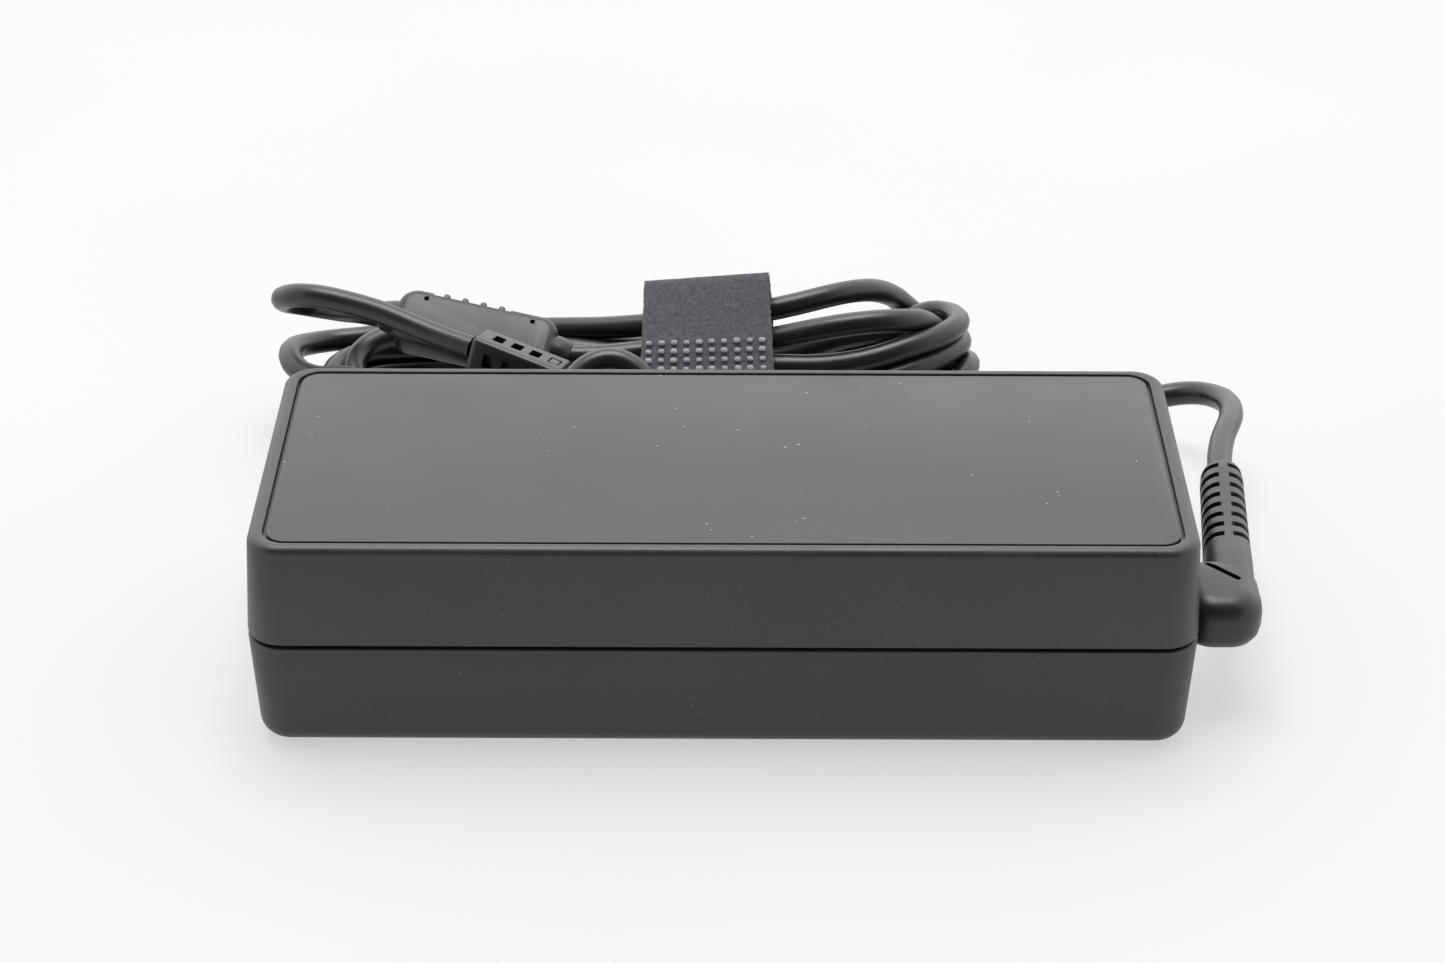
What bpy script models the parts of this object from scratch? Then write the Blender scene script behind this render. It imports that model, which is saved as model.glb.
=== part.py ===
"""Laptop power adapter with its output cord tied in a hank behind it.

Frame: metres, +Z up. The origin is the centre of the case's bottom face, +X runs along the
case towards the output elbow, and -Y is the long side that faces the user.
Lengths below are in millimetres; MM turns them into metres.
"""
import math

import bmesh
import bpy
from mathutils import Matrix, Vector

MM = 0.001
GAP = 0.3                      # clearance between pieces that touch

# Case
CASE_LENGTH = 128.0            # at the parting plane
CASE_WIDTH = 52.0
CASE_HEIGHT = 31.5
PARTING_Z = 16.5
SEAM_WIDTH = 0.45
DRAFT = 0.9                    # how far each side leans in from the parting plane to either end
CORNER_RADIUS = 5.2
TOP_FILLET = 1.6
BOTTOM_FILLET = 2.8
LOWER_WALL = 2.0
UPPER_WALL = 2.8
LABEL_END_BORDER = 2.0
LABEL_SIDE_BORDER = 2.0
LABEL_RECESS = 0.75
LABEL_THICKNESS = 0.25
LABEL_CORNER = 3.2

# Mains inlet, on the left end
INLET_CENTRE_Z = 13.6
INLET_BEZEL = (0.8, 22.0, 15.2)
INLET_BODY = (17.0, 19.6, 13.2)
SOCKET_DEPTH = 14.5
SOCKET_LOBE = 3.7
SOCKET_MIDDLE = (8.4, 6.2)
PIN_SETBACK = 5.6              # from the bezel's face to the pins' tips
PIN_RADIUS = 1.2
PIN_PLACES = {"line": (-4.3, -1.5), "neutral": (4.3, -1.5), "earth": (0.0, 2.8)}

# Output elbow, on the right end near the front
ELBOW_Z = 14.1
ELBOW_HEIGHT = 8.6
ELBOW_AXIS_START = (70.9, 0.0)
ELBOW_AXIS_END = (73.3, 25.0)
NECK_Y = -10.9
LEG_HALF_WIDTH = 6.7
BOOT_SHOULDER_Y = 22.8
RIB_COUNT = 8
RIB_PITCH = 2.89
RIB_SLOT = 1.1
RIB_FIRST_Y = 22.0
SPINE_HALF = 0.85

# Cord, hank and tie
CORD_DIAMETER = 3.6
CORD_POINT_SPACING = 2.0 * CORD_DIAMETER
HANK_LEFT = (-56.5, 62.5, 16.0)      # x, y and radius of the round end
HANK_RIGHT = (27.5, 62.5, 16.0)
HANK_WAIST = 11.5
HANK_TOP = 22.9
HANK_LEFT_TOP = 11.7
HANK_PROFILE = ((46.4, 0.15), (78.6, 0.15), (78.6, 17.0), (74.0, HANK_TOP), (62.2, HANK_TOP), (46.4, 7.4))
TIE_LEFT_X = -12.8
TIE_WIDTH = 20.0
TIE_THICKNESS = 1.5
TIE_PROFILE = ((48.0, 1.7), (69.8, 1.7), (70.3, 21.5), (67.2, 25.3), (62.5, 25.3), (48.0, 10.8))

LEAD_ROUTE = (
    (73.35, 25.4, 14.1), (73.9, 30.6, 14.1), (75.2, 36.4, 13.9), (77.2, 42.2, 13.3),
    (78.1, 47.4, 12.6), (77.4, 52.3, 11.5), (73.9, 56.6, 10.1), (68.5, 57.6, 8.7),
    (61.5, 55.8, 6.8), (53.5, 50.7, 4.6), (46.0, 44.0, 2.8), (38.5, 37.8, 2.0),
    (28.0, 32.6, 1.9), (16.0, 30.2, 1.9), (6.0, 29.2, 2.2), (-1.0, 29.0, 5.2),
    (-5.3, 30.6, 11.8), (-9.0, 34.6, 19.6), (-12.9, 38.1, 23.9), (-17.3, 39.4, 25.5),
    (-21.6, 37.8, 23.7), (-25.3, 34.0, 19.0), (-28.8, 30.4, 11.2), (-33.2, 28.9, 5.0),
    (-40.0, 29.6, 2.2), (-48.0, 32.2, 1.9), (-57.0, 37.8, 1.9), (-64.0, 45.0, 1.9), (-67.4, 48.4, 1.9),
)
TAIL_INNER_ROUTE = ((-13.4, 57.1, 16.4), (-17.5, 56.9, 16.3), (-21.5, 56.7, 15.9), (-25.4, 57.1, 15.8))
TAIL_OUTER_ROUTE = (
    (-54.9, 63.5, 19.8), (-58.4, 65.0, 19.7), (-61.8, 67.2, 18.8), (-65.2, 69.0, 18.5),
    (-68.4, 68.4, 19.2), (-69.6, 65.8, 20.8), (-68.0, 62.6, 23.1), (-63.5, 60.6, 24.4), (-59.4, 59.2, 24.3),
    (-53.3, 57.4, 23.4), (-45.6, 54.2, 21.5), (-39.0, 51.1, 20.7),
)

# Inline filter block
FILTER_SIZE = (25.8, 9.4, 6.2)
FILTER_CENTRE = (-38.9, 60.1, 17.8)
FILTER_DIRECTION = (-25.0, 5.4, 3.2)
FILTER_FACE = (0.0, -0.5, 0.86)
FILTER_COLLAR = 2.6
FILTER_BUMPS = 5
FILTER_BUMP_PITCH = 2.75

# Output plug, from the end of its strain relief towards the tip
PLUG_START = (-38.3, 50.8, 20.5)
PLUG_DIRECTION = (33.5, -11.7, -8.3)
PLUG_FACE = (0.0, 0.2, 0.98)
PLUG_BODY_FACE = (0.0, 0.35, 0.94)
RELIEF_SIZE = (14.8, 6.2, 5.8)
RELIEF_WINDOW = (1.7, 2.0)
RELIEF_WINDOW_PITCH = 3.05
PLUG_BODY = (22.5, 10.4, 6.2)
PLUG_TIP = (8.6, 10.8, 4.6)

# Circuit board
BOARD_Z = 6.2
BOARD_THICKNESS = 1.6
BOARD_TOP = BOARD_Z + BOARD_THICKNESS + GAP

MATERIALS = {
    "case_plastic": ((0.045, 0.047, 0.052), 0.55, 0.0),
    "label_film": ((0.065, 0.067, 0.075), 0.6, 0.0),
    "cord_pvc": ((0.030, 0.030, 0.032), 0.42, 0.0),
    "moulded_grip": ((0.032, 0.032, 0.034), 0.5, 0.0),
    "tie_fabric": ((0.045, 0.045, 0.048), 0.9, 0.0),
    "inlet_plastic": ((0.02, 0.02, 0.022), 0.45, 0.0),
    "contact_metal": ((0.75, 0.74, 0.70), 0.25, 1.0),
    "plug_metal": ((0.70, 0.70, 0.72), 0.3, 1.0),
    "plug_insulator": ((0.55, 0.42, 0.06), 0.5, 0.0),
    "board_laminate": ((0.10, 0.22, 0.08), 0.5, 0.0),
    "heatsink_aluminium": ((0.72, 0.73, 0.74), 0.35, 1.0),
    "ferrite": ((0.07, 0.07, 0.075), 0.6, 0.0),
    "winding_tape": ((0.75, 0.62, 0.10), 0.45, 0.0),
    "copper_winding": ((0.72, 0.30, 0.14), 0.35, 1.0),
    "component_epoxy": ((0.03, 0.03, 0.03), 0.5, 0.0),
    "film_capacitor_case": ((0.65, 0.55, 0.12), 0.5, 0.0),
    "capacitor_sleeve": ((0.03, 0.04, 0.09), 0.35, 0.0),
    "ceramic_blue": ((0.08, 0.20, 0.50), 0.4, 0.0),
    "insulating_sheet": ((0.80, 0.80, 0.76), 0.4, 0.0),
    "wire_black": ((0.03, 0.03, 0.03), 0.45, 0.0),
    "wire_red": ((0.55, 0.03, 0.03), 0.45, 0.0),
    "wire_green": ((0.10, 0.40, 0.08), 0.45, 0.0),
}


def clear_scene():
    for obj in list(bpy.data.objects):
        bpy.data.objects.remove(obj, do_unlink=True)


def new_collection(name):
    collection = bpy.data.collections.new(name)
    bpy.context.scene.collection.children.link(collection)
    return collection


def material(name):
    existing = bpy.data.materials.get(name)
    if existing:
        return existing
    colour, roughness, metallic = MATERIALS[name]
    made = bpy.data.materials.new(name)
    made.use_nodes = True
    shader = made.node_tree.nodes["Principled BSDF"]
    shader.inputs["Base Color"].default_value = (*colour, 1.0)
    shader.inputs["Roughness"].default_value = roughness
    shader.inputs["Metallic"].default_value = metallic
    made.diffuse_color = (*colour, 1.0)
    return made


def point(values):
    return Vector(values) * MM


def add_part(name, mesh, material_name):
    obj = bpy.data.objects.new(name, mesh)
    PARTS.objects.link(obj)
    mesh.materials.clear()
    mesh.materials.append(material(material_name))
    return obj


def add_cutter(name, mesh):
    obj = bpy.data.objects.new(name, mesh)
    CUTTERS.objects.link(obj)
    obj.hide_render = True
    obj.display_type = "WIRE"
    return obj


def boolean(target, other, operation="DIFFERENCE"):
    modifier = target.modifiers.new(other.name, "BOOLEAN")
    modifier.operation = operation
    modifier.object = other
    modifier.solver = "EXACT"


def bevel(obj, width, segments=2, angle=35.0):
    modifier = obj.modifiers.new("rounded_edges", "BEVEL")
    modifier.width = width * MM
    modifier.segments = segments
    modifier.limit_method = "ANGLE"
    modifier.angle_limit = math.radians(angle)


def finish_mesh(name, bm):
    bmesh.ops.recalc_face_normals(bm, faces=bm.faces)
    mesh = bpy.data.meshes.new(name)
    bm.to_mesh(mesh)
    bm.free()
    return mesh


def box_mesh(name, size, centre=(0, 0, 0)):
    bm = bmesh.new()
    bmesh.ops.create_cube(bm, size=1.0)
    for vert in bm.verts:
        vert.co = Vector([vert.co[i] * size[i] + centre[i] for i in range(3)]) * MM
    return finish_mesh(name, bm)


def rod_mesh(name, radius, length, centre=(0, 0, 0), axis="X", sides=24, end_radius=None):
    bm = bmesh.new()
    far = radius if end_radius is None else end_radius
    bmesh.ops.create_cone(bm, cap_ends=True, segments=sides, radius1=radius * MM, radius2=far * MM, depth=length * MM)
    turn = {"X": Matrix.Rotation(math.pi / 2, 3, "Y"), "Y": Matrix.Rotation(-math.pi / 2, 3, "X")}
    if axis in turn:
        bmesh.ops.rotate(bm, verts=bm.verts, matrix=turn[axis])
    bmesh.ops.translate(bm, verts=bm.verts, vec=point(centre))
    return finish_mesh(name, bm)


def block(name, size, centre, material_name, edge=0.4):
    obj = add_part(name, box_mesh(name, size, centre), material_name)
    bevel(obj, edge)
    return obj


def rod(name, radius, length, centre, axis, material_name, edge=0.0, sides=24):
    obj = add_part(name, rod_mesh(name, radius, length, centre, axis, sides), material_name)
    if edge:
        bevel(obj, edge)
    return obj


def cutter_box(name, size, centre):
    return add_cutter(name, box_mesh(name, size, centre))


def mesh_of_curve(curve_obj, name):
    """The closed mesh of a curve object, which is removed."""
    bpy.context.view_layer.update()
    depsgraph = bpy.context.evaluated_depsgraph_get()
    mesh = bpy.data.meshes.new_from_object(curve_obj.evaluated_get(depsgraph))
    mesh.name = name
    bm = bmesh.new()
    bm.from_mesh(mesh)
    bmesh.ops.remove_doubles(bm, verts=bm.verts, dist=0.000001)
    bmesh.ops.dissolve_limit(bm, angle_limit=0.02, verts=bm.verts, edges=bm.edges)
    bm.to_mesh(mesh)
    bm.free()
    bpy.data.objects.remove(curve_obj, do_unlink=True)
    return mesh


def outline_mesh(name, loops, thickness):
    """A flat outline in XY, with any further loops as holes, extruded to a thickness about Z = 0."""
    curve = bpy.data.curves.new(name, "CURVE")
    curve.dimensions = "2D"
    curve.fill_mode = "BOTH"
    curve.extrude = thickness * MM / 2
    for loop in loops:
        spline = curve.splines.new("POLY")
        spline.points.add(len(loop) - 1)
        for target, (x, y) in zip(spline.points, loop):
            target.co = (x * MM, y * MM, 0.0, 1.0)
        spline.use_cyclic_u = True
    obj = bpy.data.objects.new(name, curve)
    PARTS.objects.link(obj)
    return mesh_of_curve(obj, name)


def rounded_polygon(corners, radius, steps=4):
    """The corners of a convex or concave outline, each replaced by an arc of the radius."""
    points = []
    count = len(corners)
    for i in range(count):
        here = Vector(corners[i])
        before = (Vector(corners[i - 1]) - here).normalized()
        after = (Vector(corners[(i + 1) % count]) - here).normalized()
        half = before.angle(after) / 2
        size = radius[i] if isinstance(radius, (tuple, list)) else radius
        middle = here + (before + after).normalized() * (size / math.sin(half))
        first = here + before * (size / math.tan(half)) - middle
        last = here + after * (size / math.tan(half)) - middle
        for step in range(steps + 1):
            arc = first.lerp(last, step / steps).normalized() * size
            points.append(tuple(middle + arc))
    return points


def catmull_rom(points, t):
    """A point on the smooth curve through the points, for t from 0 to len(points) - 1."""
    last = len(points) - 1
    i = min(int(t), last - 1)
    f = t - i
    p1, p2 = points[i], points[i + 1]
    p0 = points[i - 1] if i > 0 else p1 * 2 - p2
    p3 = points[i + 2] if i + 2 <= last else p2 * 2 - p1
    return 0.5 * (2 * p1 + (p2 - p0) * f + (2 * p0 - 5 * p1 + 4 * p2 - p3) * f ** 2 + (3 * p1 - p0 - 3 * p2 + p3) * f ** 3)


def smooth_route(route, spacing):
    """Points an even distance apart on the smooth curve through a route."""
    points = [Vector(p) for p in route]
    fine = [catmull_rom(points, i * (len(points) - 1) / 2000) for i in range(2001)]
    travelled = [0.0]
    for a, b in zip(fine, fine[1:]):
        travelled.append(travelled[-1] + (b - a).length)
    count = max(2, round(travelled[-1] / spacing))
    even = []
    nearest = 0
    for k in range(count + 1):
        goal = travelled[-1] * k / count
        while nearest < len(fine) - 1 and travelled[nearest] < goal:
            nearest += 1
        even.append(fine[nearest])
    return even


def tube(name, route, diameter, material_name, spacing=CORD_POINT_SPACING):
    curve = bpy.data.curves.new(name, "CURVE")
    curve.dimensions = "3D"
    curve.bevel_depth = diameter * MM / 2
    curve.bevel_resolution = 2
    curve.use_fill_caps = True
    points = smooth_route(route, spacing)
    spline = curve.splines.new("POLY")
    spline.points.add(len(points) - 1)
    for target, place in zip(spline.points, points):
        target.co = (*(place * MM), 1.0)
    obj = bpy.data.objects.new(name, curve)
    PARTS.objects.link(obj)
    curve.materials.append(material(material_name))
    return obj


def drafted_box(name, length, width, z_wide, z_narrow, corner, fillet, open_end=True):
    """A box whose sides lean in from z_wide to z_narrow, with round corners and a filleted far end."""
    bm = bmesh.new()
    bmesh.ops.create_cube(bm, size=2.0)
    upward = z_narrow > z_wide
    for vert in bm.verts:
        narrow = (vert.co.z > 0) == upward
        lean = DRAFT if narrow else 0.0
        vert.co.x *= (length / 2 - lean) * MM
        vert.co.y *= (width / 2 - lean) * MM
        vert.co.z = (z_narrow if narrow else z_wide) * MM
    upright = [e for e in bm.edges if abs(e.verts[0].co.z - e.verts[1].co.z) > 1e-6]
    bmesh.ops.bevel(bm, geom=upright, offset=corner * MM, segments=5, profile=0.5, affect="EDGES")
    if fillet:
        rim = [e for e in bm.edges if all(abs(v.co.z - z_narrow * MM) < 1e-6 for v in e.verts)]
        bmesh.ops.bevel(bm, geom=rim, offset=fillet * MM, segments=3, profile=0.5, affect="EDGES")
    if open_end:
        wide = [f for f in bm.faces if all(abs(v.co.z - z_wide * MM) < 1e-6 for v in f.verts)]
        bmesh.ops.delete(bm, geom=wide, context="FACES_ONLY")
    return finish_mesh(name, bm)


def solidify(obj, thickness):
    modifier = obj.modifiers.new("wall", "SOLIDIFY")
    modifier.thickness = thickness * MM
    modifier.offset = -1.0
    modifier.use_even_offset = True


def wall_openings():
    """The holes that the mains inlet and the elbow's neck pass through, in both shells."""
    inlet = cutter_box(
        "inlet_opening", (8.0, INLET_BODY[1] + 2 * GAP, INLET_BODY[2] + 2 * GAP),
        (-CASE_LENGTH / 2 + 1.0, 0.0, INLET_CENTRE_Z))
    neck = cutter_box("neck_opening", (8.0, 7.0 + 2 * GAP, 7.0 + 2 * GAP), (CASE_LENGTH / 2 - 1.0, NECK_Y, ELBOW_Z))
    return inlet, neck


def build_shells():
    inlet, neck = wall_openings()
    lower_mesh = drafted_box("lower_shell", CASE_LENGTH, CASE_WIDTH, PARTING_Z - SEAM_WIDTH / 2, 0.0,
                             CORNER_RADIUS, BOTTOM_FILLET)
    lower = add_part("lower_shell", lower_mesh, "case_plastic")
    solidify(lower, LOWER_WALL)
    upper_mesh = drafted_box("upper_shell", CASE_LENGTH, CASE_WIDTH, PARTING_Z + SEAM_WIDTH / 2, CASE_HEIGHT,
                             CORNER_RADIUS, TOP_FILLET)
    upper = add_part("upper_shell", upper_mesh, "case_plastic")
    solidify(upper, UPPER_WALL)
    inset = LOWER_WALL + GAP
    tongue_outline = rounded_rectangle(CASE_LENGTH - 2 * inset, CASE_WIDTH - 2 * inset, CORNER_RADIUS - inset)
    tongue_hole = rounded_rectangle(CASE_LENGTH - 2 * inset - 2.4, CASE_WIDTH - 2 * inset - 2.4, CORNER_RADIUS - inset - 1.0)
    tongue = add_cutter("seam_tongue", outline_mesh("seam_tongue", (tongue_outline, tongue_hole), 5.0))
    tongue.location.z = (PARTING_Z + 0.2) * MM
    boolean(upper, tongue, "UNION")
    recess_size = (CASE_LENGTH - 2 * DRAFT - 2 * LABEL_END_BORDER, CASE_WIDTH - 2 * DRAFT - 2 * LABEL_SIDE_BORDER)
    recess = add_cutter("label_recess", outline_mesh("label_recess", [rounded_rectangle(*recess_size, LABEL_CORNER)],
                                                     2 * LABEL_RECESS))
    recess.location.z = CASE_HEIGHT * MM
    boolean(upper, recess)
    for shell in (lower, upper):
        boolean(shell, inlet)
        boolean(shell, neck)
    label_outline = rounded_rectangle(recess_size[0] - 0.9, recess_size[1] - 0.6, LABEL_CORNER - 0.4)
    label = add_part("label_film", outline_mesh("label_film", [label_outline], LABEL_THICKNESS), "label_film")
    label.location.z = (CASE_HEIGHT - LABEL_RECESS + GAP + LABEL_THICKNESS / 2) * MM


def rounded_rectangle(length, width, radius, steps=5):
    corners = ((-length / 2, -width / 2), (length / 2, -width / 2), (length / 2, width / 2), (-length / 2, width / 2))
    return rounded_polygon(corners, radius, steps)


def build_inlet():
    face_x = -CASE_LENGTH / 2 - GAP
    body_x = face_x + INLET_BODY[0] / 2
    housing = add_part("inlet_housing", box_mesh("inlet_housing", INLET_BODY, (body_x, 0, INLET_CENTRE_Z)), "inlet_plastic")
    bezel_x = face_x - INLET_BEZEL[0] / 2 + 0.05
    bezel = add_cutter("inlet_bezel", box_mesh("inlet_bezel", INLET_BEZEL, (bezel_x, 0, INLET_CENTRE_Z)))
    bevel(bezel, 0.3)
    boolean(housing, bezel, "UNION")
    mouth_x = face_x - INLET_BEZEL[0] - 1.0
    for name, (y, z) in PIN_PLACES.items():
        lobe_centre = (mouth_x + (SOCKET_DEPTH + 1.0) / 2, y, INLET_CENTRE_Z + z)
        lobe = add_cutter(f"socket_lobe_{name}", rod_mesh("lobe", SOCKET_LOBE, SOCKET_DEPTH + 1.0, lobe_centre, "X", 20))
        boolean(housing, lobe)
        hole_centre = (body_x, y, INLET_CENTRE_Z + z)
        hole = add_cutter(f"pin_hole_{name}", rod_mesh("hole", PIN_RADIUS + GAP, 40.0, hole_centre, "X", 12))
        boolean(housing, hole)
    middle_centre = (mouth_x + (SOCKET_DEPTH + 1.0) / 2, 0.0, INLET_CENTRE_Z)
    boolean(housing, cutter_box("socket_middle", (SOCKET_DEPTH + 1.0, *SOCKET_MIDDLE), middle_centre))
    tip_x = mouth_x + 1.0 + PIN_SETBACK
    tail_x = body_x + INLET_BODY[0] / 2 + 3.0
    for name, (y, z) in PIN_PLACES.items():
        centre = ((tip_x + tail_x) / 2, y, INLET_CENTRE_Z + z)
        rod(f"inlet_pin_{name}", PIN_RADIUS, tail_x - tip_x, centre, "X", "contact_metal", 0.35, 12)
    colours = {"line": "wire_black", "neutral": "wire_red", "earth": "wire_green"}
    for name, (y, z) in PIN_PLACES.items():
        start_z = INLET_CENTRE_Z + z
        side = 1.8 if name == "earth" else 1.0
        route = ((tail_x + GAP, y, start_z), (tail_x + 2.5, y * side, start_z - 0.8),
                 (tail_x + 3.6, y * side, (start_z + BOARD_TOP) / 2), (tail_x + 3.8, y * side, BOARD_TOP + 0.1))
        tube(f"inlet_lead_{name}", route, 1.4, colours[name], 2.5)


def elbow_axis_x(y):
    share = (y - ELBOW_AXIS_START[1]) / (ELBOW_AXIS_END[1] - ELBOW_AXIS_START[1])
    return ELBOW_AXIS_START[0] + share * (ELBOW_AXIS_END[0] - ELBOW_AXIS_START[0])


def elbow_mesh():
    """The elbow's plan outline, extruded, rounded all round and thinned towards its cord end."""
    half_root, half_end, half_tip = 3.25, 3.0, 2.4
    wall_x = CASE_LENGTH / 2 + GAP
    front_y = NECK_Y - LEG_HALF_WIDTH
    back_y = NECK_Y + LEG_HALF_WIDTH
    end_y = ELBOW_AXIS_END[1]
    corners = (
        (wall_x, front_y), (74.0, front_y), (elbow_axis_x(2.0) + half_root, 2.0),
        (elbow_axis_x(BOOT_SHOULDER_Y) + half_end, BOOT_SHOULDER_Y), (elbow_axis_x(end_y) + half_tip, end_y),
        (elbow_axis_x(end_y) - half_tip, end_y), (elbow_axis_x(BOOT_SHOULDER_Y) - half_end, BOOT_SHOULDER_Y),
        (elbow_axis_x(2.0) - half_root, 2.0), (elbow_axis_x(back_y) - half_root, back_y), (wall_x, back_y),
    )
    radii = (0.8, 4.6, 6.0, 1.0, 0.6, 0.6, 1.0, 6.0, 1.4, 0.8)
    mesh = outline_mesh("output_elbow", [rounded_polygon(corners, radii)], ELBOW_HEIGHT)
    bm = bmesh.new()
    bm.from_mesh(mesh)
    half = ELBOW_HEIGHT * MM / 2
    level = [e for e in bm.edges if abs(e.verts[0].co.z - e.verts[1].co.z) < 1e-6]
    rim = [e for e in level if abs(abs(e.verts[0].co.z) - half) < 1e-6]
    rim = [e for e in rim if min(v.co.x for v in e.verts) > (wall_x + 0.1) * MM or e.calc_length() < 3.0 * MM]
    bmesh.ops.bevel(bm, geom=rim, offset=1.6 * MM, segments=3, profile=0.5, affect="EDGES", clamp_overlap=True)
    for vert in bm.verts:
        along = (vert.co.y / MM - front_y) / (end_y - front_y)
        vert.co.z = vert.co.z * (1.0 - 0.36 * along) + ELBOW_Z * MM
    bmesh.ops.remove_doubles(bm, verts=bm.verts, dist=0.02 * MM)
    bmesh.ops.triangulate(bm, faces=bm.faces)
    bmesh.ops.recalc_face_normals(bm, faces=bm.faces)
    bm.to_mesh(mesh)
    bm.free()
    return mesh


def build_elbow():
    elbow = add_part("output_elbow", elbow_mesh(), "moulded_grip")
    slots = bmesh.new()
    for i in range(RIB_COUNT):
        y = RIB_FIRST_Y - i * RIB_PITCH
        for side in (-1, 1):
            made = bmesh.ops.create_cube(slots, size=1.0)["verts"]
            centre_x = elbow_axis_x(y) + side * (SPINE_HALF + 2.5)
            for vert in made:
                place = (centre_x + vert.co.x * 5.0, y + vert.co.y * RIB_SLOT, ELBOW_Z + vert.co.z * 12.0)
                vert.co = point(place)
    boolean(elbow, add_cutter("rib_slots", finish_mesh("rib_slots", slots)))
    start = Vector((elbow_axis_x(-2.0), -2.0, ELBOW_Z))
    end = Vector((elbow_axis_x(23.7), 23.7, ELBOW_Z))
    core = add_cutter("elbow_core", rod_mesh("elbow_core", 2.1, (end - start).length, (0, 0, 0), "Y", 12))
    core.location = (start + end) * 0.5 * MM
    core.rotation_euler.z = -math.atan2(end.x - start.x, end.y - start.y)
    boolean(elbow, core, "UNION")
    slit = cutter_box("mitre_slit", (6.0, 1.0, 2.4), (0, 0, 0))
    slit.location = point((68.8, -8.6, ELBOW_Z + ELBOW_HEIGHT / 2))
    slit.rotation_euler.z = math.atan2(-4.3, 4.2)
    boolean(elbow, slit)
    neck = add_cutter("elbow_neck", box_mesh("elbow_neck", (6.6, 7.0, 7.0), (CASE_LENGTH / 2 - 2.3, NECK_Y, ELBOW_Z)))
    boolean(elbow, neck, "UNION")
    flange = add_cutter("elbow_flange", box_mesh("elbow_flange", (2.0, 10.0, 10.0), (CASE_LENGTH / 2 - 4.9, NECK_Y, ELBOW_Z)))
    boolean(elbow, flange, "UNION")


def hank_outline():
    """The hank's plan: two round ends joined by sides that draw in to the tie."""
    left_x, centre_y, radius = HANK_LEFT
    right_x = HANK_RIGHT[0]
    tie_x = TIE_LEFT_X + TIE_WIDTH / 2
    steps = 10
    side = []
    for i in range(1, steps):
        x = left_x + (right_x - left_x) * i / steps
        reach = (left_x if x < tie_x else right_x) - tie_x
        ease = 0.5 - 0.5 * math.cos(math.pi * min(1.0, abs(x - tie_x) / abs(reach)))
        side.append((x, HANK_WAIST + (radius - HANK_WAIST) * ease))
    outline = []
    for i in range(13):
        angle = math.pi / 2 + math.pi * i / 12
        outline.append((left_x + radius * math.cos(angle), centre_y + radius * math.sin(angle)))
    outline += [(x, centre_y - half) for x, half in side]
    for i in range(13):
        angle = -math.pi / 2 + math.pi * i / 12
        outline.append((right_x + radius * math.cos(angle), centre_y + radius * math.sin(angle)))
    outline += [(x, centre_y + half) for x, half in reversed(side)]
    return outline


def along_x(obj, left_x, length):
    """Stands an outline drawn in XY up, so that its X is Y, its Y is Z and its thickness is along X."""
    turn = Matrix(((0, 0, 1), (1, 0, 0), (0, 1, 0))).to_4x4()
    obj.matrix_world = Matrix.Translation(point((left_x + length / 2, 0, 0))) @ turn


def grown(profile, distance):
    """A convex outline with every side moved out by a distance."""
    count = len(profile)
    result = []
    for i in range(count):
        here = Vector(profile[i])
        before = (here - Vector(profile[i - 1])).normalized()
        after = (Vector(profile[(i + 1) % count]) - here).normalized()
        out_before = Vector((before.y, -before.x))
        out_after = Vector((after.y, -after.x))
        middle = (out_before + out_after).normalized()
        result.append(tuple(here + middle * (distance / middle.dot(out_before))))
    return result


def build_hank_and_tie():
    hank = add_part("cord_hank", outline_mesh("cord_hank", [hank_outline()], 2 * HANK_TOP), "cord_pvc")
    profile = add_cutter("hank_profile", outline_mesh("hank_profile", [HANK_PROFILE], 140.0))
    along_x(profile, -85.0, 140.0)
    boolean(hank, profile, "INTERSECT")
    waist = add_cutter("hank_waist", outline_mesh("hank_waist", [grown(TIE_PROFILE, 20.0), grown(TIE_PROFILE, -1.5 * GAP)],
                                                  TIE_WIDTH + 2 * GAP))
    along_x(waist, TIE_LEFT_X - GAP, TIE_WIDTH + 2 * GAP)
    boolean(hank, waist)
    left_top = cutter_box("hank_left_top", (80.0, 60.0, 20.0), (TIE_LEFT_X - 39.6, 62.0, HANK_LEFT_TOP + 10.0))
    boolean(hank, left_top)
    inner = rounded_polygon(TIE_PROFILE, 1.0, 3)
    outer = rounded_polygon(grown(TIE_PROFILE, TIE_THICKNESS), 1.0 + TIE_THICKNESS, 3)
    tie = add_part("cable_tie", outline_mesh("cable_tie", [outer, inner], TIE_WIDTH), "tie_fabric")
    along_x(tie, TIE_LEFT_X, TIE_WIDTH)


def frame_matrix(origin, direction, face):
    """A frame at the origin with X along direction and Z as near as it can be to face."""
    x = Vector(direction).normalized()
    y = Vector(face).cross(x).normalized()
    z = x.cross(y)
    turn = Matrix((x, y, z)).transposed().to_4x4()
    return Matrix.Translation(point(origin)) @ turn


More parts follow.
